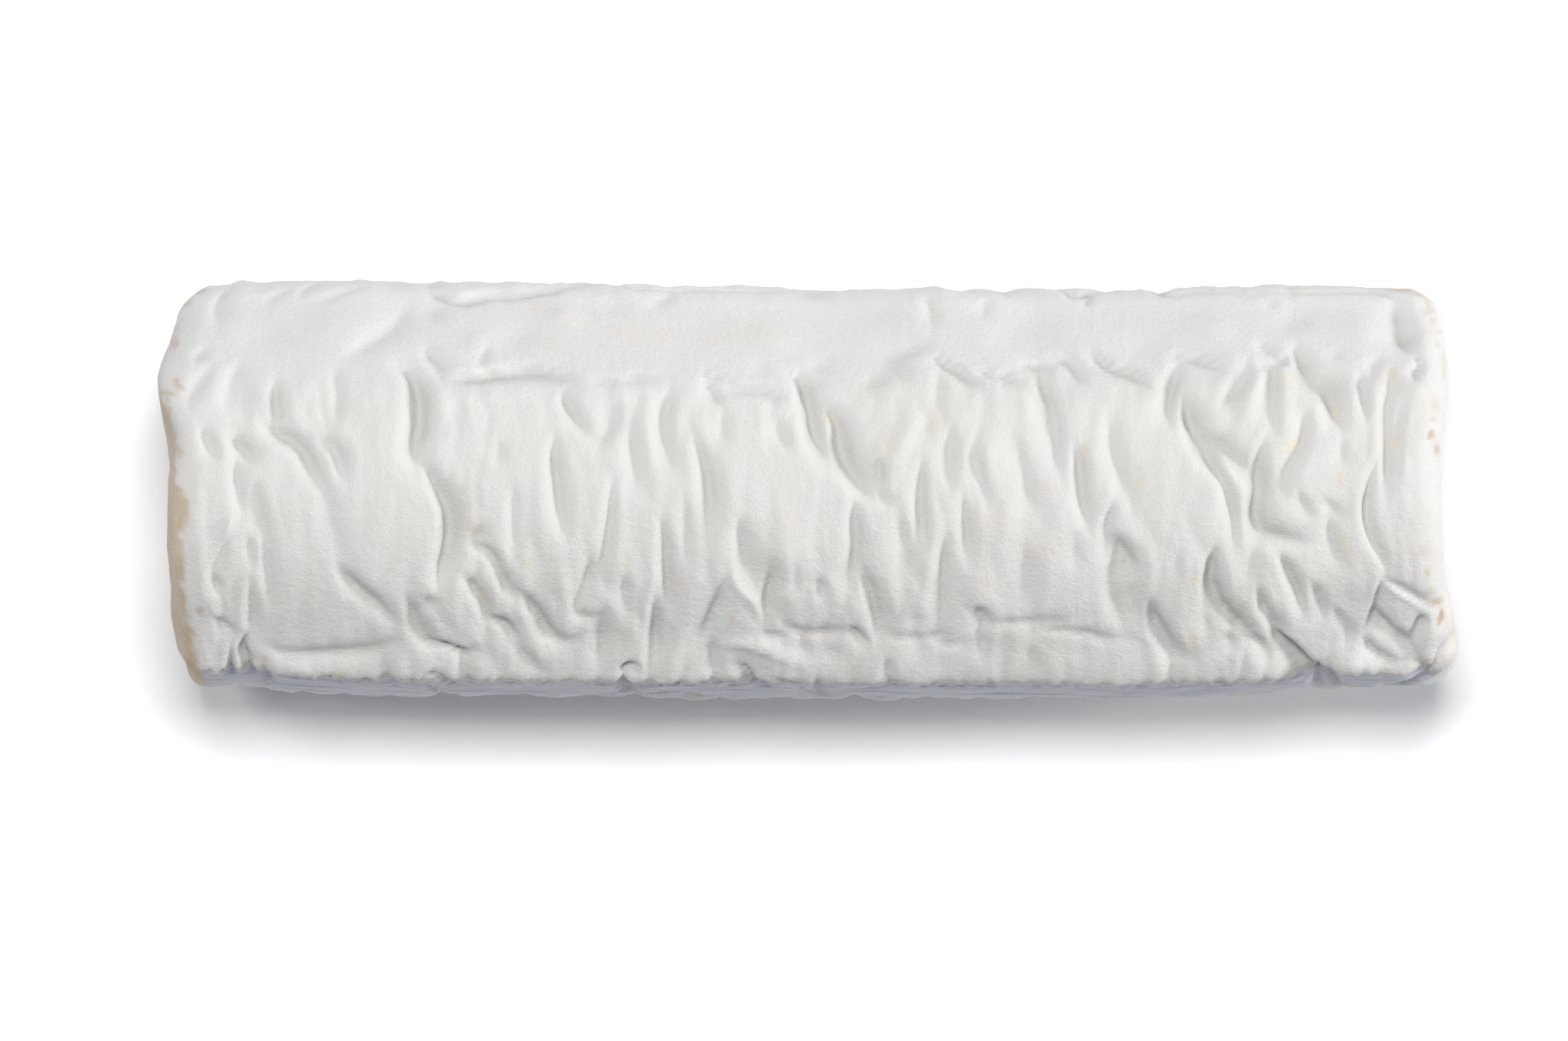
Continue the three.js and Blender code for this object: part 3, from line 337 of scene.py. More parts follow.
# how the folds are cut
relief = {
    "crease": 0.08,  # rounding at the bottom of a fold
    "roundness": 0.17,  # more of that rounding, as a share of the narrower side
    "sunk": 0.8,  # how much of its depth draws a fold's bottom towards the middle, in plan
    "deepest": 1.8,  # folds that meet add up to less, and never go below this
    "tail": 1.7,  # how far a fold goes on past the two ends of its path
    "shortPath": 5,  # a path with its ends closer than this has shorter tails
    "share": 1.36,  # makes all folds deeper or shallower
    "shareByY": ([-13, -6, 1], [0.86, 1, 1.25]),  # the same by plan y, from low on the front to the top
    "leftShare": 0.72,  # makes the two sides of all folds steeper or softer
    "rightShare": 1.05,
    "deepenIn": 0.36,  # share of a path over which a fold gets to its depth
    "runOut": 0.46,  # and over which it runs out at its far end
    "narrowStart": 0.5,  # how narrow a fold begins, and how wide it ends
    "wideEnd": 1.4,
    "reach": 3.2,  # widths past which a side is no longer felt
    "pathSteps": 5,  # steps between two points of a path
    "pleat": 0.075,  # height of the fine pleats round the log
    "pleatPitch": 1.5,
    "pleatLength": 9,
    "waver": 0.16,  # slow unevenness of the whole rind
    "waverPitch": 13,
    "swell": 0.16,  # soft swellings between the folds, longer round the log
    "swellPitch": 4.2,
    "swellLength": 11,
    # crumpled layers: height, pitch along the log and round it, and how soft their creases are
    "crumple": [(0.68, 3.4, 10, 0.08), (0.26, 1.8, 4.6, 0.07)],
    "crumpleBend": 1.6,  # how far the creases wander, and over which length
    "crumpleBendPitch": 8,
    "crumpleLevel": 0.2,  # how much lower the crumpled layers sit than their peaks
    "calmPitch": 13,  # size of the calmer and the more crumpled areas
    "calmShift": 40,  # moves them along the log
    "calmRange": (-0.3, 0.35),
    "calmest": 0.4,  # share of the crumple that is left in the calmest of them
    "padCalm": 0.75,  # share that the calm pads take away
    "upperCalm": 0.4,  # and the stretch between two girths above the upper flat
    "upperCalmGirth": (0.95, 1.15, 1.7, 1.9),
    # share of each layer that the flats take away
    "pressedAway": {"pleat": 0.85, "swell": 0.35, "grain": 0.6, "crumple": 0.93},
    "pressedFrom": (0.15, 0.6),  # how far inside the round section the front counts as pressed
    "flatBelowEdge": (-4.2, 0.3),  # where the upper flat begins, past its lower edge, and ends
    "flatTopGirth": (1.45, 1.15),
    "lip": (0.4, -18.7, 2.3, 0.8),  # swollen lower edge of the front: height, plan y, half width, evenness
    "layers": (0.22, 9, 0.8),  # wavy layers along the lower flat: height, pitch along it and across it
    "layersGirth": (1.12, 1.25, 1.75, 1.9),
    "grain": 0.02,  # the finest unevenness
    "grainPitch": 0.9,
}

# folds of the same kind on the side that is turned away, spread by a seeded draw
hiddenFolds = {
    "seed": 41, "girthFrom": 97, "girthTo": 268, "girthPitch": 19, "pitch": 5.2, "jitter": 1.6,
    "length": (5, 11), "heading": (-112, -68), "bow": (-0.6, 0.6), "deep": (0.3, 1.0), "side": (0.4, 1.5),
}
endDents = {
    "seed": 7, "count": 14, "radius": (1.6, 4.4), "depth": (0.15, 0.6), "wrinkle": 0.14, "pitch": 2.6,
}


def smoothStep(low, high, value):
    share = np.clip((value - low) / (high - low), 0, 1)
    return share * share * (3 - 2 * share)


# 0 to 1 between the first two limits, and back to 0 between the last two
def band(limits, value):
    return smoothStep(*limits[:2], value) * smoothStep(limits[3], limits[2], value)


def softMin(one, other, soften):
    return -soften * np.logaddexp(-one / soften, -other / soften)


# smooth curve along a few points, as a function
def smoothLine(points, spread=1.2):
    at, value = np.array(points, float).T
    fine = np.arange(at[0] - 6, at[-1] + 6, 0.2)
    rough = np.interp(fine, at, value)
    window = np.exp(-(np.arange(-4 * spread, 4 * spread + 0.1, 0.2) / spread) ** 2)
    smooth = np.convolve(np.pad(rough, len(window) // 2, mode="edge"), window / window.sum(), "valid")
    return lambda x: np.interp(x, fine, smooth[:len(fine)])


# smooth noise of -1 to 1 at points given in units of one wave
def noiseAt(points):
    return np.array([noise.noise(point) for point in points.tolist()])


def sectionRadius(girth, fray=0.0):
    frontFrom, frontTurn = np.radians(log["frontFlat"])
    turn = np.clip(frontFrom - girth, 0, frontTurn)
    radius = log["radius"] / np.cos(turn * smoothStep(*log["frontFlatEnd"], girth))
    for (flatGirth, halfWidth, soften), uneven in ((log["shoulderFlat"], 0.0), (log["lowerFlat"], fray)):
        turn = (girth - math.radians(flatGirth) + math.pi) % (2 * math.pi) - math.pi
        depth = math.sqrt(log["radius"] ** 2 - halfWidth ** 2) + uneven
        radius = softMin(radius, depth / np.cos(np.clip(turn, -1.3, 1.3)), soften)
    turn = girth % (2 * math.pi) - math.pi
    return np.minimum(radius, axisHeight / np.cos(np.clip(turn, -1.3, 1.3)))


# where the plain section is in plan, so that a plan point finds its girth
sectionGirth = np.radians(np.linspace(-110, 110, 441))
sectionY = sectionRadius(sectionGirth) * np.sin(sectionGirth)
fromAbove = slice(sectionY.argmin(), sectionY.argmax() + 1)
sectionGirth, sectionY = sectionGirth[fromAbove], sectionY[fromAbove]
sideTop, sideBottom = sectionY[-1], sectionY[0]
upperLine, lowerLine = smoothLine(upperEdge), smoothLine(lowerEdge)
leftLine, rightLine = smoothLine(leftEnd, 0.8), smoothLine(rightEnd, 0.8)


def acrossScale(x):
    return (upperLine(x) - lowerLine(x)) / (sideTop - sideBottom)


def acrossShift(x):
    return upperLine(x) - sideTop * acrossScale(x)


# distance round the log, from its top, of plan points
def roundLog(x, y):
    return log["radius"] * np.interp((y - acrossShift(x)) / acrossScale(x), sectionY, sectionGirth)


def longerPath(points):
    first, last = points[0] - points[1], points[-1] - points[-2]
    tail = relief["tail"] * min(1, np.hypot(*(points[-1] - points[0])) / relief["shortPath"])
    return np.vstack([points[0] + first * tail / np.hypot(*first), points,
                      points[-1] + last * tail / np.hypot(*last)])


# path through its points with rounded corners
def roundedPath(points):
    ends = np.vstack([2 * points[0] - points[1], points, 2 * points[-1] - points[-2]])
    shares = np.arange(relief["pathSteps"]) / relief["pathSteps"]
    made = []
    for before, start, stop, after in zip(ends, ends[1:], ends[2:], ends[3:]):
        for share in shares:
            turned = (2 * start + (stop - before) * share
                      + (2 * before - 5 * start + 4 * stop - after) * share ** 2
                      + (3 * start - before - 3 * stop + after) * share ** 3) / 2
            made.append(turned)
    return np.array(made + [points[-1]])


# depth of one fold at the points (x, round), added to depth
def addFold(depth, x, around, path, deep, leftSide, rightSide):
    line = roundedPath(longerPath(path))
    reach = relief["reach"] * relief["wideEnd"] * max(leftSide, rightSide)
    near = np.flatnonzero((x > line[:, 0].min() - reach) & (x < line[:, 0].max() + reach)
                          & (around > line[:, 1].min() - reach) & (around < line[:, 1].max() + reach))
    if not len(near):
        return
    points = np.stack([x[near], around[near]], 1)
    steps = np.diff(line, axis=0)
    lengths = np.hypot(*steps.T)
    starts = np.concatenate([[0], np.cumsum(lengths)])
    best = np.full(len(near), np.inf)
    along = np.zeros(len(near))
    left = np.zeros(len(near), bool)
    for start, step, length, travelled in zip(line, steps, lengths, starts):
        away = points - start
        share = np.clip(away @ step / length ** 2, 0, 1)
        distance = np.hypot(*(away - share[:, None] * step).T)
        closer = distance < best
        best[closer] = distance[closer]
        along[closer] = travelled + share[closer] * length
        left[closer] = (step[0] * away[:, 1] - step[1] * away[:, 0])[closer] > 0
    share = along / starts[-1]
    fade = smoothStep(0, relief["deepenIn"], share) * smoothStep(0, relief["runOut"], 1 - share)
    width = np.interp(share, [0, 0.45, 1], [relief["narrowStart"], 1, relief["wideEnd"]])
    crease = relief["crease"] + relief["roundness"] * min(leftSide, rightSide)
    distance = np.sqrt(best ** 2 + crease ** 2) - crease
    distance /= relief["reach"] * width * np.where(left, leftSide, rightSide)
    depth[near] += deep * fade * np.clip(1 - distance, 0, 1) ** relief["reach"]


def drawHiddenFolds():
    draw = random.Random(hiddenFolds["seed"])
    made = []
    for girth in range(hiddenFolds["girthFrom"], hiddenFolds["girthTo"], hiddenFolds["girthPitch"]):
        x = -halfLength + log["rimRadius"] + draw.uniform(0, hiddenFolds["pitch"])
        while x < halfLength - log["rimRadius"]:
            jitter = hiddenFolds["jitter"]
            middle = np.array([x + draw.uniform(-jitter, jitter),
                               math.radians(girth) * log["radius"] + draw.uniform(-jitter, jitter)])
            heading = math.radians(draw.uniform(*hiddenFolds["heading"]))
            half = np.array([math.cos(heading), math.sin(heading)])
            half *= draw.uniform(*hiddenFolds["length"]) / 2
            bow = np.array([draw.uniform(*hiddenFolds["bow"]), 0])
            path = np.array([middle - half, middle + bow, middle + half])
            deep = draw.uniform(*hiddenFolds["deep"])
            made.append((path, deep, draw.uniform(*hiddenFolds["side"]), draw.uniform(*hiddenFolds["side"])))
            x += hiddenFolds["pitch"]
    return made


# height of the rind above the plain log, for every point (x, girth)
def rindHeight(x, girth):
    around = log["radius"] * girth
    depth = np.zeros(len(x))
    for path, deep, leftSide, rightSide in shownFolds:
        plan = np.array(path, float).reshape(-1, 2)
        deep *= relief["share"] * np.interp(plan[:, 1].mean(), *relief["shareByY"])
        sunk = relief["sunk"] * deep * np.sin(roundLog(*plan.T) / log["radius"])
        plan[:, 1] = roundLog(plan[:, 0], plan[:, 1] + sunk)
        leftSide, rightSide = relief["leftShare"] * leftSide, relief["rightShare"] * rightSide
        addFold(depth, x, around, plan, deep, leftSide, rightSide)
    turned = (girth + math.pi / 2) % (2 * math.pi) - math.pi / 2   # -90 to 270, without a break at the back
    for path, deep, leftSide, rightSide in drawHiddenFolds():
        addFold(depth, x, log["radius"] * turned, path, deep, leftSide, rightSide)
    deepest = relief["deepest"]
    height = -deepest * np.tanh(depth / deepest)
    for planX, planY, radius, rise in mounds:
        away = (x - planX) ** 2 + (around - roundLog(planX, planY)) ** 2
        height += rise * np.exp(-away / radius ** 2)

    # layers of unevenness, which mostly stay off the flats
    ring = np.stack([np.cos(girth), np.sin(girth)], 1) * log["radius"]
    place = np.column_stack([x, ring])
    pleats = noiseAt(np.column_stack([x / relief["pleatPitch"], ring / relief["pleatLength"]]))
    waver = noiseAt(place / relief["waverPitch"])
    swell = noiseAt(np.column_stack([x / relief["swellPitch"], ring / relief["swellLength"]]))
    bend = relief["crumpleBend"] * noiseAt(place / relief["crumpleBendPitch"])
    calm = noiseAt(np.column_stack([x + relief["calmShift"], ring]) / relief["calmPitch"])
    grain = noiseAt(place / relief["grainPitch"])
    pressed = smoothStep(*relief["pressedFrom"], log["radius"] - sectionRadius(girth))
    aboveEdge = smoothStep(*relief["flatBelowEdge"], around - roundLog(x, smoothLine(facetEdge, 1)(x)))
    onFlat = np.where(girth > 0, aboveEdge * smoothStep(*relief["flatTopGirth"], girth), pressed)
    kept = {name: 1 - share * onFlat for name, share in relief["pressedAway"].items()}
    height += relief["pleat"] * kept["pleat"] * pleats
    height += relief["waver"] * waver + relief["swell"] * kept["swell"] * swell
    height += relief["grain"] * kept["grain"] * grain
    liveliness = relief["calmest"] + (1 - relief["calmest"]) * smoothStep(*relief["calmRange"], calm)
    liveliness *= kept["crumple"] * (1 - relief["upperCalm"] * band(relief["upperCalmGirth"], girth))
    for planX, planY, halfX, halfY in calmPads:
        away = ((x - planX) / halfX) ** 2 + ((around - roundLog(planX, planY)) / halfY) ** 2
        liveliness *= 1 - relief["padCalm"] * np.exp(-away ** 2)
    for rise, pitch, length, soften in relief["crumple"]:
        layer = noiseAt(np.column_stack([(x + bend) / pitch, (ring + bend[:, None]) / length]))
        height += rise * liveliness * (np.sqrt(layer ** 2 + soften ** 2) - relief["crumpleLevel"])
    rise, lipY, width, evenness = relief["lip"]
    lip = np.exp(-((around - roundLog(x, np.full(len(x), lipY))) / width) ** 2)
    height += rise * lip * (evenness + waver)
    rise, pitch, width = relief["layers"]
    layers = noiseAt(np.column_stack([x / pitch, ring / width]))
    height += rise * band(relief["layersGirth"], -girth) * layers
    return height


def buildLog():
    bm = bmesh.new()
    flatRadius = log["radius"] - log["rimRadius"]
    outline = [(halfLength, flatRadius * step / log["faceSteps"]) for step in range(log["faceSteps"])]
    for step in range(log["rimSteps"] + 1):
        turn = step / log["rimSteps"] * math.pi / 2
        outline.append((halfLength - log["rimRadius"] * (1 - math.cos(turn)),
                        flatRadius + log["rimRadius"] * math.sin(turn)))
    halfOutline = [bm.verts.new((x * mm, 0, height * mm)) for x, height in outline]
    otherHalf = [bm.verts.new((-x * mm, 0, height * mm)) for x, height in outline]
    for half in (halfOutline, otherHalf):
        for first, second in zip(half, half[1:]):
            bm.edges.new((first, second))
    side = bm.edges.new((halfOutline[-1], otherHalf[-1]))
    bmesh.ops.subdivide_edges(bm, edges=[side], cuts=log["sideSteps"] - 1)
    bmesh.ops.spin(bm, geom=bm.verts[:] + bm.edges[:], axis=(1, 0, 0), cent=(0, 0, 0), angle=2 * math.pi,
                   steps=log["girthSteps"], use_merge=True)
    bmesh.ops.remove_doubles(bm, verts=bm.verts[:], dist=0.01 * mm)
    bmesh.ops.recalc_face_normals(bm, faces=bm.faces[:])
    mesh = bpy.data.meshes.new("rind")
    bm.to_mesh(mesh)
    bm.free()
    return mesh


def readPoints(mesh):
    points = np.empty(len(mesh.vertices) * 3)
    mesh.vertices.foreach_get("co", points)
    return points.reshape(-1, 3) / mm


# moves the plain log's points to where the rind is, and returns their girth and the relief there
def shapeRind(mesh):
    plain = readPoints(mesh)
    distance = np.hypot(plain[:, 1], plain[:, 2])
    crowdGirth = math.radians(log["crowdGirth"])
    turn = np.arctan2(plain[:, 1], plain[:, 2]) - crowdGirth
    girth = crowdGirth + turn - log["crowding"] * np.sin(turn)
    girth = (girth + math.pi) % (2 * math.pi) - math.pi
    x = plain[:, 0]
    end = np.sign(x)

    # which way the plain rind faces: outwards on the side, along the log on the ends
    beyondSide = np.maximum(0, np.abs(x) - halfLength + log["rimRadius"])
    beyondFace = np.maximum(0, distance - log["radius"] + log["rimRadius"])
    facing = np.hypot(beyondSide, beyondFace)
    outwards, lengthwise = beyondFace / facing, beyondSide / facing * end

    ring = np.stack([np.cos(girth), np.sin(girth)], 1) * log["radius"]
    fineShare, finer = log["frayFine"]
    fray = noiseAt(np.column_stack([x, ring]) / log["frayPitch"])
    fray += fineShare * noiseAt(np.column_stack([x, ring]) / log["frayPitch"] * finer)
    fray *= log["fray"] * smoothStep(*log["frayGirth"], girth)
    section = sectionRadius(girth, fray) / log["radius"]
    restTurn = math.asin(log["restHalfWidth"] / log["radius"])
    free = smoothStep(restTurn, restTurn + log["freeTurn"], math.pi - np.abs(girth))
    sideShare = smoothStep(log["faceCalm"] * log["radius"], log["radius"] - 1, distance)
    height = rindHeight(np.clip(x, 1 - halfLength, halfLength - 1), girth) * free * sideShare

    radius = distance * section + outwards * height
    y, z = radius * np.sin(girth), radius * np.cos(girth)
    scale = 1 + (acrossScale(x) - 1) * smoothStep(*log["outlineFrom"], z)
    y, z = y * acrossScale(x) + acrossShift(x), z * scale
    lengthways = x + lengthwise * height

    # the ends slant, and are dented and wrinkled
    endShare = smoothStep(halfLength - log["endReach"], halfLength, np.abs(x))
    lengthways += endShare * np.where(end > 0, rightLine(y) - halfLength, leftLine(y) + halfLength)
    face = np.abs(lengthwise)
    draw = random.Random(endDents["seed"])
    dents = np.zeros(len(x))
    for index in range(2 * endDents["count"]):
        side = 1 if index % 2 else -1
        reach = log["radius"] - 2
        centre = np.array([draw.uniform(-reach, reach), draw.uniform(-reach, reach)])
        away = (y - centre[0]) ** 2 + (z - centre[1]) ** 2
        dent = draw.uniform(*endDents["depth"]) * np.exp(-away / draw.uniform(*endDents["radius"]) ** 2)
        dents += np.where(end == side, dent, 0)
    wrinkles = noiseAt(np.column_stack([end * 3, y / endDents["pitch"], z / endDents["pitch"]]))
    lengthways -= face * end * (dents + endDents["wrinkle"] * wrinkles)

    shaped = np.stack([lengthways, y, np.maximum(z, -axisHeight) + axisHeight], 1)
    mesh.vertices.foreach_set("co", (shaped * mm).ravel())
    mesh.update()
    return shaped, girth, height


# colour patches in plan: x, y, half sizes along x and y, strength
creamSpots = [
    (-27.7, 19.1, 0.6, 0.3, 0.5), (-26.4, 15.3, 0.6, 0.6, 0.4), (-23.8, 17.4, 1.2, 0.8, 0.25),
    (-17, 16.2, 4, 0.9, 0.2), (-5.5, 16.2, 5, 1.2, 0.18), (8.6, 4.8, 1.6, 1.4, 0.25),
    (13.6, 7, 1.2, 0.8, 0.3), (2.8, 7.4, 0.8, 0.6, 0.4), (13.3, 18.6, 0.4, 0.6, 0.4),
    (-34, 3, 0.8, 0.6, 0.3), (-34, -4, 0.4, 0.9, 0.5), (-28.6, -7.6, 0.5, 0.5, 0.45),
    (-33.4, -10.8, 0.6, 0.5, 0.45), (-23, -10.6, 0.4, 0.6, 0.5), (-18.3, -7.4, 0.4, 0.4, 0.5),
    (-17.8, -13.4, 0.4, 0.4, 0.5), (-12.5, -10.2, 0.5, 0.4, 0.5), (-7.4, -13.6, 0.4, 0.5, 0.6),
    (-2.2, -3.2, 0.8, 0.7, 0.3), (8.6, -3, 0.9, 0.8, 0.25), (8.5, -9.9, 0.5, 0.5, 0.45),
    (8.6, -16.4, 0.5, 0.8, 0.4), (19.2, -3.2, 0.6, 0.6, 0.5), (24.4, -6.5, 0.6, 0.7, 0.45),
    (24.5, 0.4, 0.5, 0.5, 0.6), (19.2, -10, 0.6, 0.8, 0.4), (29.3, 4.3, 0.4, 0.5, 0.7),
    (34.8, 0.8, 0.7, 0.5, 0.5), (40.5, -9.4, 0.5, 0.5, 0.5), (40.4, -15.6, 0.9, 0.7, 0.5),
    (31.7, 18.6, 0.3, 0.3, 0.8), (55.4, 8.2, 0.5, 0.8, 0.8), (50.7, 4.6, 0.7, 0.7, 0.75),
    (61, 12, 0.6, 0.6, 0.6), (61.2, 5, 0.5, 0.6, 0.8), (55.7, 1.2, 0.4, 0.6, 0.65),
    (56, -5.6, 0.6, 0.7, 0.55), (50.4, 11.6, 0.6, 0.6, 0.4), (45.6, -12.4, 0.5, 0.8, 0.4),
    (49, 19.2, 0.4, 0.4, 0.5), (52, 21, 0.7, 0.3, 0.5), (42.7, 20.8, 0.5, 0.3, 0.4),
    (-48.4, -19.2, 0.8, 0.6, 0.5),
]
tanSpots = [
    (62.6, 20.9, 1.4, 0.25, 0.8), (64.4, 20.4, 0.9, 0.3, 0.7), (65.1, 19.7, 0.4, 0.6, 0.6),
    (65.2, 18.6, 0.6, 0.5, 0.6), (65.6, 17.6, 0.5, 0.4, 0.5), (65.2, 16.6, 0.3, 0.3, 0.5),
    (66, 16.4, 0.5, 0.3, 0.5), (66, 15.2, 0.3, 0.3, 0.6), (66.6, 13, 0.3, 1.6, 0.4),
    (65.6, 8.8, 0.45, 1, 0.55), (65.4, 7.4, 0.4, 0.4, 0.5), (65.2, 5.6, 0.3, 0.5, 1),
    (65.6, 4.4, 0.25, 0.7, 0.8), (64.8, -8.6, 0.3, 0.4, 0.8), (64.4, -6.4, 0.6, 0.8, 0.3),
    (65.2, -10.6, 0.4, 0.5, 0.6), (65.7, -11.6, 0.7, 0.4, 0.8), (66.3, -13.3, 0.25, 0.7, 1),
    (-65.5, 15.2, 0.5, 0.7, 0.8), (-65.2, 11.2, 0.4, 0.6, 0.9), (-66.2, 10, 0.9, 0.3, 0.8),
    (-64.7, 10.5, 0.4, 0.3, 0.8), (-62.8, -12.5, 0.4, 0.4, 0.6), (-64.6, 19.6, 0.7, 0.5, 0.6),
    (-63.3, 20.8, 0.9, 0.4, 0.7),
]
brownSpots = [
    (65.1, 5.6, 0.3, 0.5, 0.5), (65.8, 4, 0.2, 0.6, 0.35), (66.2, -13.2, 0.25, 0.7, 0.8),
    (65.9, -11.6, 0.4, 0.3, 0.4), (-62.8, -12.5, 0.3, 0.3, 0.35), (-66, 9.2, 0.4, 0.2, 0.35),
    (65.8, -19.4, 0.6, 0.3, 0.5), (-64.4, -1.6, 0.5, 1.2, 0.25), (-64.4, -3.2, 0.5, 0.8, 0.3),
    (-64.7, -8.4, 0.4, 1.6, 0.2), (-64.4, -11.6, 0.4, 1, 0.3), (-64.2, -15.4, 0.5, 1.1, 0.4),
    (-63.7, -17.8, 0.6, 1.2, 0.6), (-63.3, -19.2, 0.6, 0.6, 0.5),
]

# where the rind is bare or tinted, where shade is painted on the lower side and into the folds, and where
# light is painted on the strip above the upper flat
colouring = {
    # plan line up to which the left end is bare of bloom
    "leftLine": [(-20, -62.6), (-17.6, -63.2), (-12.8, -63.9), (-11.2, -64.2), (-10, -64.8), (-9.2, -64.1),
                 (-6, -64.5), (-4, -64.6), (-2.6, -63.8), (-0.4, -64.4), (1.2, -65.4), (4.4, -64.8),
                 (6.4, -65.4), (8.4, -65.9), (10, -67.2), (21, -68.2)],
    "ragged": 0.68,  # how far the edge of the bare patch wanders
    "raggedPitch": 1.1,
    "raggedFine": (0.4, 2.7),  # a finer layer of that: its share, and how much finer it is
    "edge": 0.25,  # how soft the edge is
    "patches": 0.12,  # share of the bare end that mould has grown back over
    "patchPitch": 2.4,
    "facePitch": 4.2,  # size of the patches of bloom on the left end's face, and how dense they are
    "faceBloom": 0.5,
    "faceWander": 9,  # how far the edge of its bare part wanders
    "faceTint": 0.22,  # how much the right end's face is tinted
    "rightEdge": 66.7,  # x past which the right end is bare too, and how much
    "rightStrength": 0.35,
    "shownFrom": (-0.2, 0.15),  # cosines of the girth between which spots and tints from above fade out
    "spotRagged": 0.5,  # how ragged the spots are, and over which shares of their size they end
    "spotEdge": (0.4, 1.5),
    "pressedEdge": (-4, 2.5),  # distances past the edge of the flat over which its tint comes in
    # distances from the axis: the colours of an end face fade out, and those of the side come in
    "faceFade": (18.5, 13),
    "sideFrom": (17.5, 20.3),
    # girths, in radians, between which the painted bluish shade of the lower side and the painted light of
    # the upper strip show
    "undersideShadeGirth": (0.93, 1.27, 1.47, 1.85),
    "upperLitGirth": (1.04, 1.2, 1.7, 2.4),
    "foldDepth": (0.15, 1.2),  # depths between which a fold takes on painted shade
    "creaseShadeFade": (0.8, 1, 1.25),  # how much of that painted shade they lose low on the front, and over which girths
}


def paintRind(mesh, points, girth, height):
    x, y, z = points.T
    shown = smoothStep(*colouring["shownFrom"], np.cos(girth))
    fineShare, finer = colouring["raggedFine"]
    ragged = noiseAt(points / colouring["raggedPitch"]) * colouring["ragged"]
    ragged += noiseAt(points / colouring["raggedPitch"] * finer) * colouring["ragged"] * fineShare
    bareLine = smoothLine(colouring["leftLine"], 0.3)
    fromAxis = np.hypot(y, z - axisHeight)
    onFace = smoothStep(*colouring["faceFade"], fromAxis)
    onSide = smoothStep(*colouring["sideFrom"], fromAxis)
    facePatches = noiseAt(points / colouring["facePitch"])
    tan = smoothStep(-colouring["edge"], colouring["edge"],
                     bareLine(y + colouring["faceWander"] * facePatches * onFace) - x + ragged)
    tan *= 1 - colouring["faceBloom"] * onFace * smoothStep(-0.12, 0.3, facePatches + 0.4 * ragged)
    patches = noiseAt(points / colouring["patchPitch"]) + ragged
    tan *= 1 - colouring["patches"] * smoothStep(0.1, 0.35, patches)
    atRight = smoothStep(-0.3, 0.9, x - colouring["rightEdge"] + 0.8 * ragged)
    tan = np.maximum(tan, colouring["rightStrength"] * atRight * smoothStep(-0.2, 0.3, patches + 0.1))
    tan = np.maximum(tan, colouring["faceTint"] * onFace * smoothStep(-0.2, 0.35, facePatches) * (x > 0))
    cream, brown = np.zeros(len(x)), np.zeros(len(x))
    for spots, layer in ((creamSpots, cream), (tanSpots, tan), (brownSpots, brown)):
        for spotX, spotY, halfX, halfY, strength in spots:
            away = np.hypot((x - spotX) / halfX, (y - spotY) / halfY) + colouring["spotRagged"] * ragged
            np.maximum(layer, strength * shown * (1 - smoothStep(*colouring["spotEdge"], away)), out=layer)
    pressed = smoothStep(*colouring["pressedEdge"], y - smoothLine(facetEdge, 1)(x)) * shown
    # painted bluish shade on the lower side, which faces away from the lights
    underside = band(colouring["undersideShadeGirth"], -girth) * onSide
    # painted light on the strip above the shoulder flat, which faces the lights
    upperLit = band(colouring["upperLitGirth"], girth) * onSide
    # painted shade in the creases, stronger the deeper the fold, with less of it low on the front
    shadeLoss, shadeLossFrom, shadeLossTo = colouring["creaseShadeFade"]
    creaseShadeMask = smoothStep(*colouring["foldDepth"], -height)
    creaseShadeMask *= 1 - shadeLoss * smoothStep(shadeLossFrom, shadeLossTo, -girth)
    layers = {"bareRind": tan, "cream": cream, "brown": brown, "pressed": pressed, "underside": underside,
              "upperPaintedLight": upperLit, "creaseShadeMask": creaseShadeMask}
    for name, values in layers.items():
        attribute = mesh.attributes.new(name, "FLOAT", "POINT")
        attribute.data.foreach_set("value", values.astype(np.float32))


rindLook = {
    "bloom": (0.56, 0.555, 0.542, 1),
    "bloomWarm": (0.555, 0.546, 0.522, 1),
    "pressedBloom": (0.568, 0.564, 0.559, 1),
    "upperPaintedLight": (0.615, 0.614, 0.614, 1),  # painted light: a lighter strip above the flat on the shoulder, which faces the lights
    "undersideShade": (0.568, 0.573, 0.604, 1),  # painted bluish shade on the lower flat, with darker layers of painted shade in it
    "undersideShadeLayer": (0.405, 0.415, 0.465, 1),
    "layerScale": (110, 1500, 1500),
    "cream": (0.58, 0.525, 0.41, 1),
    "tan": (0.462, 0.387, 0.297, 1),
    "brown": (0.37, 0.25, 0.14, 1),
    # painted shade for the creases of the folds
    "creaseShade": (0.465, 0.455, 0.43, 1),
    "creaseShadeShare": 0.7,  # how strongly shade is painted into the folds
    "cloudScale": 160,  # waves to a metre
    "fuzzScale": 1500,
    "fineScale": 4200,
    "streakScale": (900, 170, 170),
    "fuzzHeight": 0.00012,
    "fineHeight": 0.00008,
    "streakHeight": 0.00006,
    "roughness": (0.86, 0.6),  # of the bloom and of the bare rind
    "specular": 0.25,
    "subsurface": 0.12,
    "subsurfaceRadius": (1.0, 0.8, 0.6),
    "subsurfaceScale": 1.2,  # millimetres
}


# small helpers for node trees
def addNode(tree, kind, **settings):
    node = tree.nodes.new(kind)
    for name, value in settings.items():
        setattr(node, name, value)
    return node


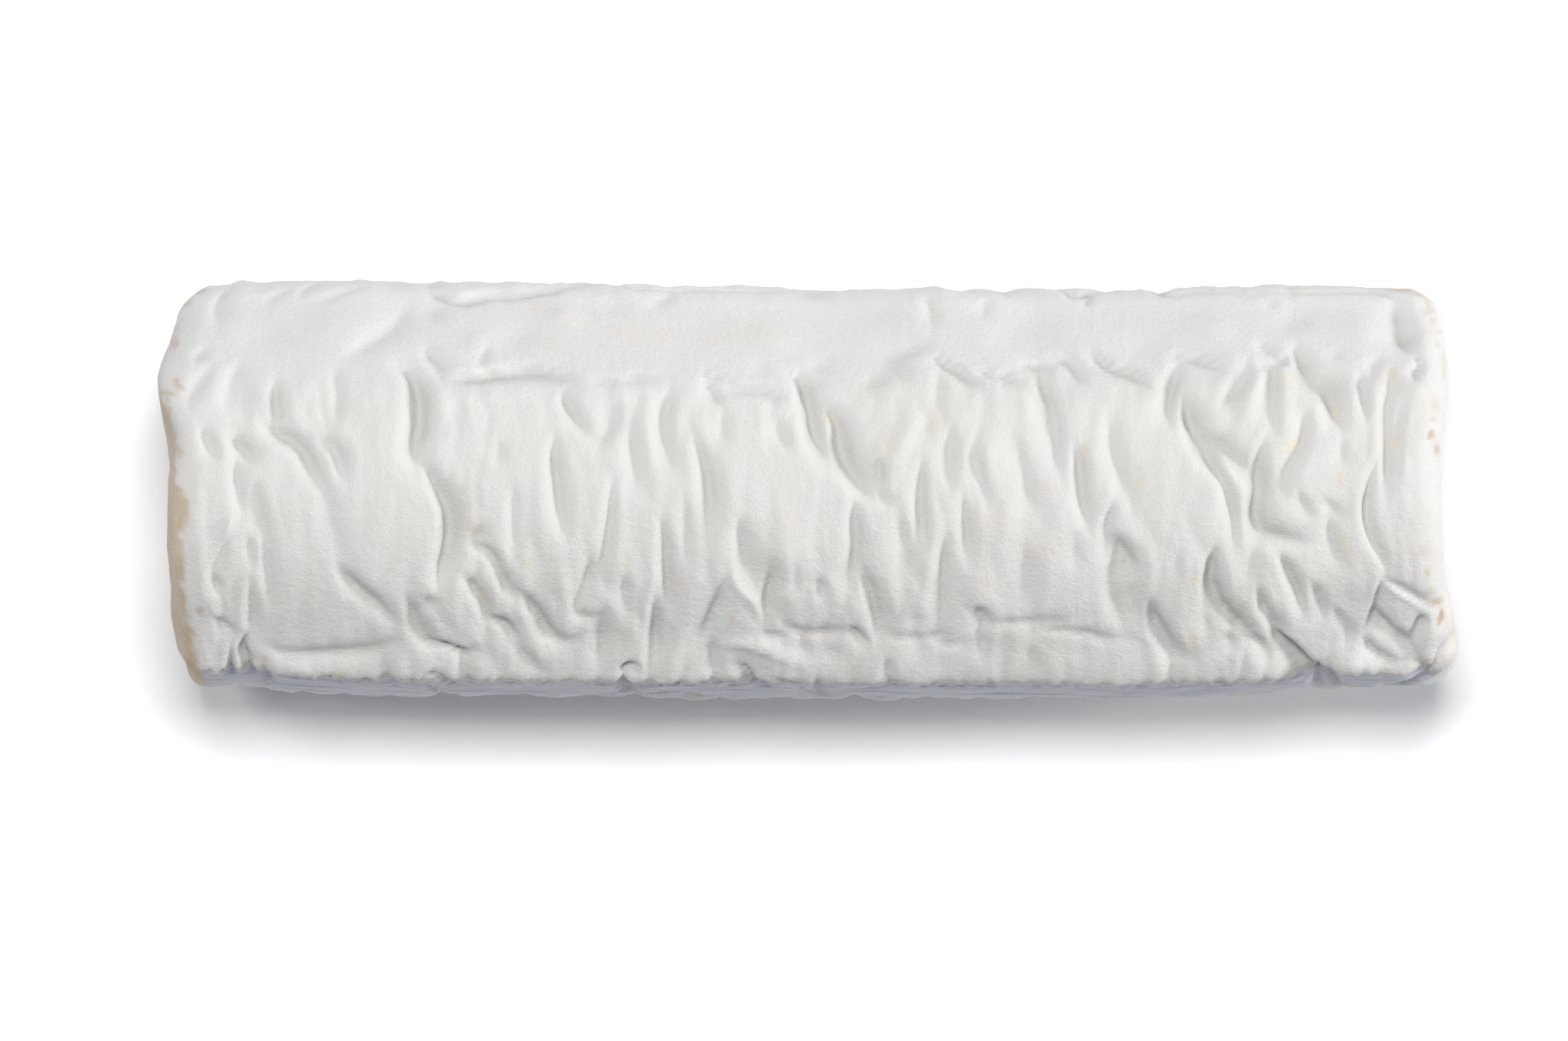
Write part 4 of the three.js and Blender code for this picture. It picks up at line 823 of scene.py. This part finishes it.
def mixColour(tree, factor, first, second):
    mix = addNode(tree, "ShaderNodeMix", data_type="RGBA")
    for socket, value in ((mix.inputs[0], factor), (mix.inputs[6], first), (mix.inputs[7], second)):
        if isinstance(value, bpy.types.NodeSocket):
            tree.links.new(value, socket)
        else:
            socket.default_value = value
    return mix.outputs[2]


def mapRange(tree, value, low, high, outLow=0.0, outHigh=1.0):
    node = addNode(tree, "ShaderNodeMapRange", interpolation_type="SMOOTHSTEP")
    tree.links.new(value, node.inputs["Value"])
    for name, number in (("From Min", low), ("From Max", high), ("To Min", outLow), ("To Max", outHigh)):
        node.inputs[name].default_value = number
    return node.outputs["Result"]


def noiseNode(tree, vector, scale, detail=4, roughness=0.55):
    node = addNode(tree, "ShaderNodeTexNoise")
    tree.links.new(vector, node.inputs["Vector"])
    node.inputs["Scale"].default_value = scale
    node.inputs["Detail"].default_value = detail
    node.inputs["Roughness"].default_value = roughness
    return node.outputs["Fac"]


def calculate(tree, operation, first, second):
    node = addNode(tree, "ShaderNodeMath", operation=operation)
    for socket, value in zip(node.inputs, (first, second)):
        if isinstance(value, bpy.types.NodeSocket):
            tree.links.new(value, socket)
        else:
            socket.default_value = value
    return node.outputs[0]


def stretched(tree, vector, scale):
    node = addNode(tree, "ShaderNodeMapping")
    node.inputs["Scale"].default_value = scale
    tree.links.new(vector, node.inputs["Vector"])
    return node.outputs["Vector"]


def attributeValue(tree, name):
    return addNode(tree, "ShaderNodeAttribute", attribute_name=name).outputs["Fac"]


def rindMaterial():
    material = bpy.data.materials.new("bloomyRind")
    material.use_nodes = True
    tree = material.node_tree
    shader = tree.nodes["Principled BSDF"]
    place = addNode(tree, "ShaderNodeTexCoord").outputs["Object"]

    clouds = noiseNode(tree, place, rindLook["cloudScale"], 5, 0.6)
    fuzz = noiseNode(tree, place, rindLook["fuzzScale"], 5, 0.65)
    fine = noiseNode(tree, place, rindLook["fineScale"], 3, 0.6)
    streaks = noiseNode(tree, stretched(tree, place, rindLook["streakScale"]), 1, 3, 0.5)

    bloom = mixColour(tree, mapRange(tree, clouds, 0.35, 0.65), rindLook["bloom"], rindLook["bloomWarm"])
    colour = mixColour(tree, attributeValue(tree, "pressed"), bloom, rindLook["pressedBloom"])
    # painted bluish shade on the lower flat, in ragged darker layers
    ragged = calculate(tree, "ADD", attributeValue(tree, "underside"), fuzz)
    undersideShadeMask = mapRange(tree, ragged, 0.7, 1.2)
    thinLayers = noiseNode(tree, stretched(tree, place, rindLook["layerScale"]), 1, 4, 0.6)
    undersideShadeColour = mixColour(tree, mapRange(tree, thinLayers, 0.36, 0.68), rindLook["undersideShade"],
                           rindLook["undersideShadeLayer"])
    colour = mixColour(tree, undersideShadeMask, colour, undersideShadeColour)
    # painted light on the strip above the shoulder flat
    colour = mixColour(tree, attributeValue(tree, "upperPaintedLight"), colour, rindLook["upperPaintedLight"])
    # painted shade in the creases of the folds
    folds = calculate(tree, "MULTIPLY", attributeValue(tree, "creaseShadeMask"), rindLook["creaseShadeShare"])
    colour = mixColour(tree, folds, colour, rindLook["creaseShade"])
    thin = calculate(tree, "MULTIPLY", attributeValue(tree, "cream"),
                     mapRange(tree, fuzz, 0.25, 0.6, 0.3, 1))
    colour = mixColour(tree, thin, colour, rindLook["cream"])
    broken = calculate(tree, "MULTIPLY", attributeValue(tree, "bareRind"),
                       mapRange(tree, fuzz, 0.25, 0.55, 0.7, 1))
    colour = mixColour(tree, broken, colour, rindLook["tan"])
    colour = mixColour(tree, attributeValue(tree, "brown"), colour, rindLook["brown"])
    tree.links.new(colour, shader.inputs["Base Color"])
    tree.links.new(mapRange(tree, broken, 0, 1, *rindLook["roughness"]), shader.inputs["Roughness"])

    height = None
    for source, rise in ((fuzz, "fuzzHeight"), (fine, "fineHeight"), (streaks, "streakHeight")):
        bump = addNode(tree, "ShaderNodeBump")
        bump.inputs["Distance"].default_value = rindLook[rise]
        tree.links.new(source, bump.inputs["Height"])
        if height:
            tree.links.new(height, bump.inputs["Normal"])
        height = bump.outputs["Normal"]
    tree.links.new(height, shader.inputs["Normal"])

    shader.inputs["Specular IOR Level"].default_value = rindLook["specular"]
    shader.inputs["Subsurface Weight"].default_value = rindLook["subsurface"]
    shader.inputs["Subsurface Radius"].default_value = rindLook["subsurfaceRadius"]
    shader.inputs["Subsurface Scale"].default_value = rindLook["subsurfaceScale"] * mm
    return material


mesh = buildLog()
points, girth, height = shapeRind(mesh)
print("log shaped:", len(mesh.vertices), "points")
paintRind(mesh, points, girth, height)
mesh.materials.append(rindMaterial())
mesh.shade_smooth()
rind = bpy.data.objects.new("cheese_log_rind", mesh)
bpy.context.scene.collection.objects.link(rind)
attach(rind, "root")
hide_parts("cheese_log")
print("rind painted")

studio = {
    "viewWidth": 163.84,  # millimetres across the view, at the log's middle height
    "aim": (-2.08, -3.2),  # plan point at the middle of the view
    "cameraAway": 3000,
    "sensor": 36,
    "floorSize": 4,  # metres
    "floorColour": (0.98, 0.98, 0.98, 1),
    "skyColour": (0.78, 0.83, 1.0, 1),
    "skyStrength": 0.18,
    "lightAway": 1.3,
    # how far each light leans from overhead, in degrees towards +X and +Y, its size, power and colour
    "lights": {
        "leftSoftbox": ((-25, 9), (0.3, 0.11), 3.6, (1, 1, 0.985)),
        "rightSoftbox": ((76, 9), (0.35, 0.16), 12.9, (1, 1, 0.995)),
        "overheadSoftbox": ((0, 13.6), (0.42, 0.36), 15.4, (1, 0.992, 0.972)),
    },
}


def setStage():
    bm = bmesh.new()
    bmesh.ops.create_grid(bm, x_segments=1, y_segments=1, size=studio["floorSize"] / 2)
    floorMesh = bpy.data.meshes.new("floor")
    bm.to_mesh(floorMesh)
    bm.free()
    floorMaterial = bpy.data.materials.new("paleFloor")
    floorMaterial.use_nodes = True
    shader = floorMaterial.node_tree.nodes["Principled BSDF"]
    shader.inputs["Base Color"].default_value = studio["floorColour"]
    shader.inputs["Roughness"].default_value = 1
    shader.inputs["Specular IOR Level"].default_value = 0
    floorMesh.materials.append(floorMaterial)
    floor = bpy.data.objects.new("floor", floorMesh)
    bpy.context.scene.collection.objects.link(floor)

    world = bpy.data.worlds.new("softSky")
    world.use_nodes = True
    sky = world.node_tree.nodes["Background"]
    sky.inputs["Color"].default_value = studio["skyColour"]
    sky.inputs["Strength"].default_value = studio["skyStrength"]
    bpy.context.scene.world = world

    for name, (lean, size, power, colour) in studio["lights"].items():
        lamp = bpy.data.lights.new(name, "AREA")
        lamp.shape = "RECTANGLE"
        lamp.size, lamp.size_y = size
        lamp.energy = power
        lamp.color = colour
        softbox = bpy.data.objects.new(name, lamp)
        leanX, leanY = np.radians(lean)
        direction = Vector((math.tan(leanX), math.tan(leanY), 1)).normalized()
        softbox.location = direction * studio["lightAway"]
        softbox.rotation_euler = direction.to_track_quat("Z", "Y").to_euler()
        bpy.context.scene.collection.objects.link(softbox)


def setCamera():
    camera = bpy.data.cameras.new("overheadCamera")
    camera.sensor_width = studio["sensor"]
    camera.lens = studio["sensor"] * studio["cameraAway"] / studio["viewWidth"]
    camera.clip_end = 100
    viewer = bpy.data.objects.new("overheadCamera", camera)
    viewer.location = Vector((*studio["aim"], studio["cameraAway"] + highCorner.z / 2)) * mm
    bpy.context.scene.collection.objects.link(viewer)
    bpy.context.scene.camera = viewer
    bpy.context.scene.view_settings.view_transform = "Standard"


setStage()
setCamera()
print("stage and camera set")
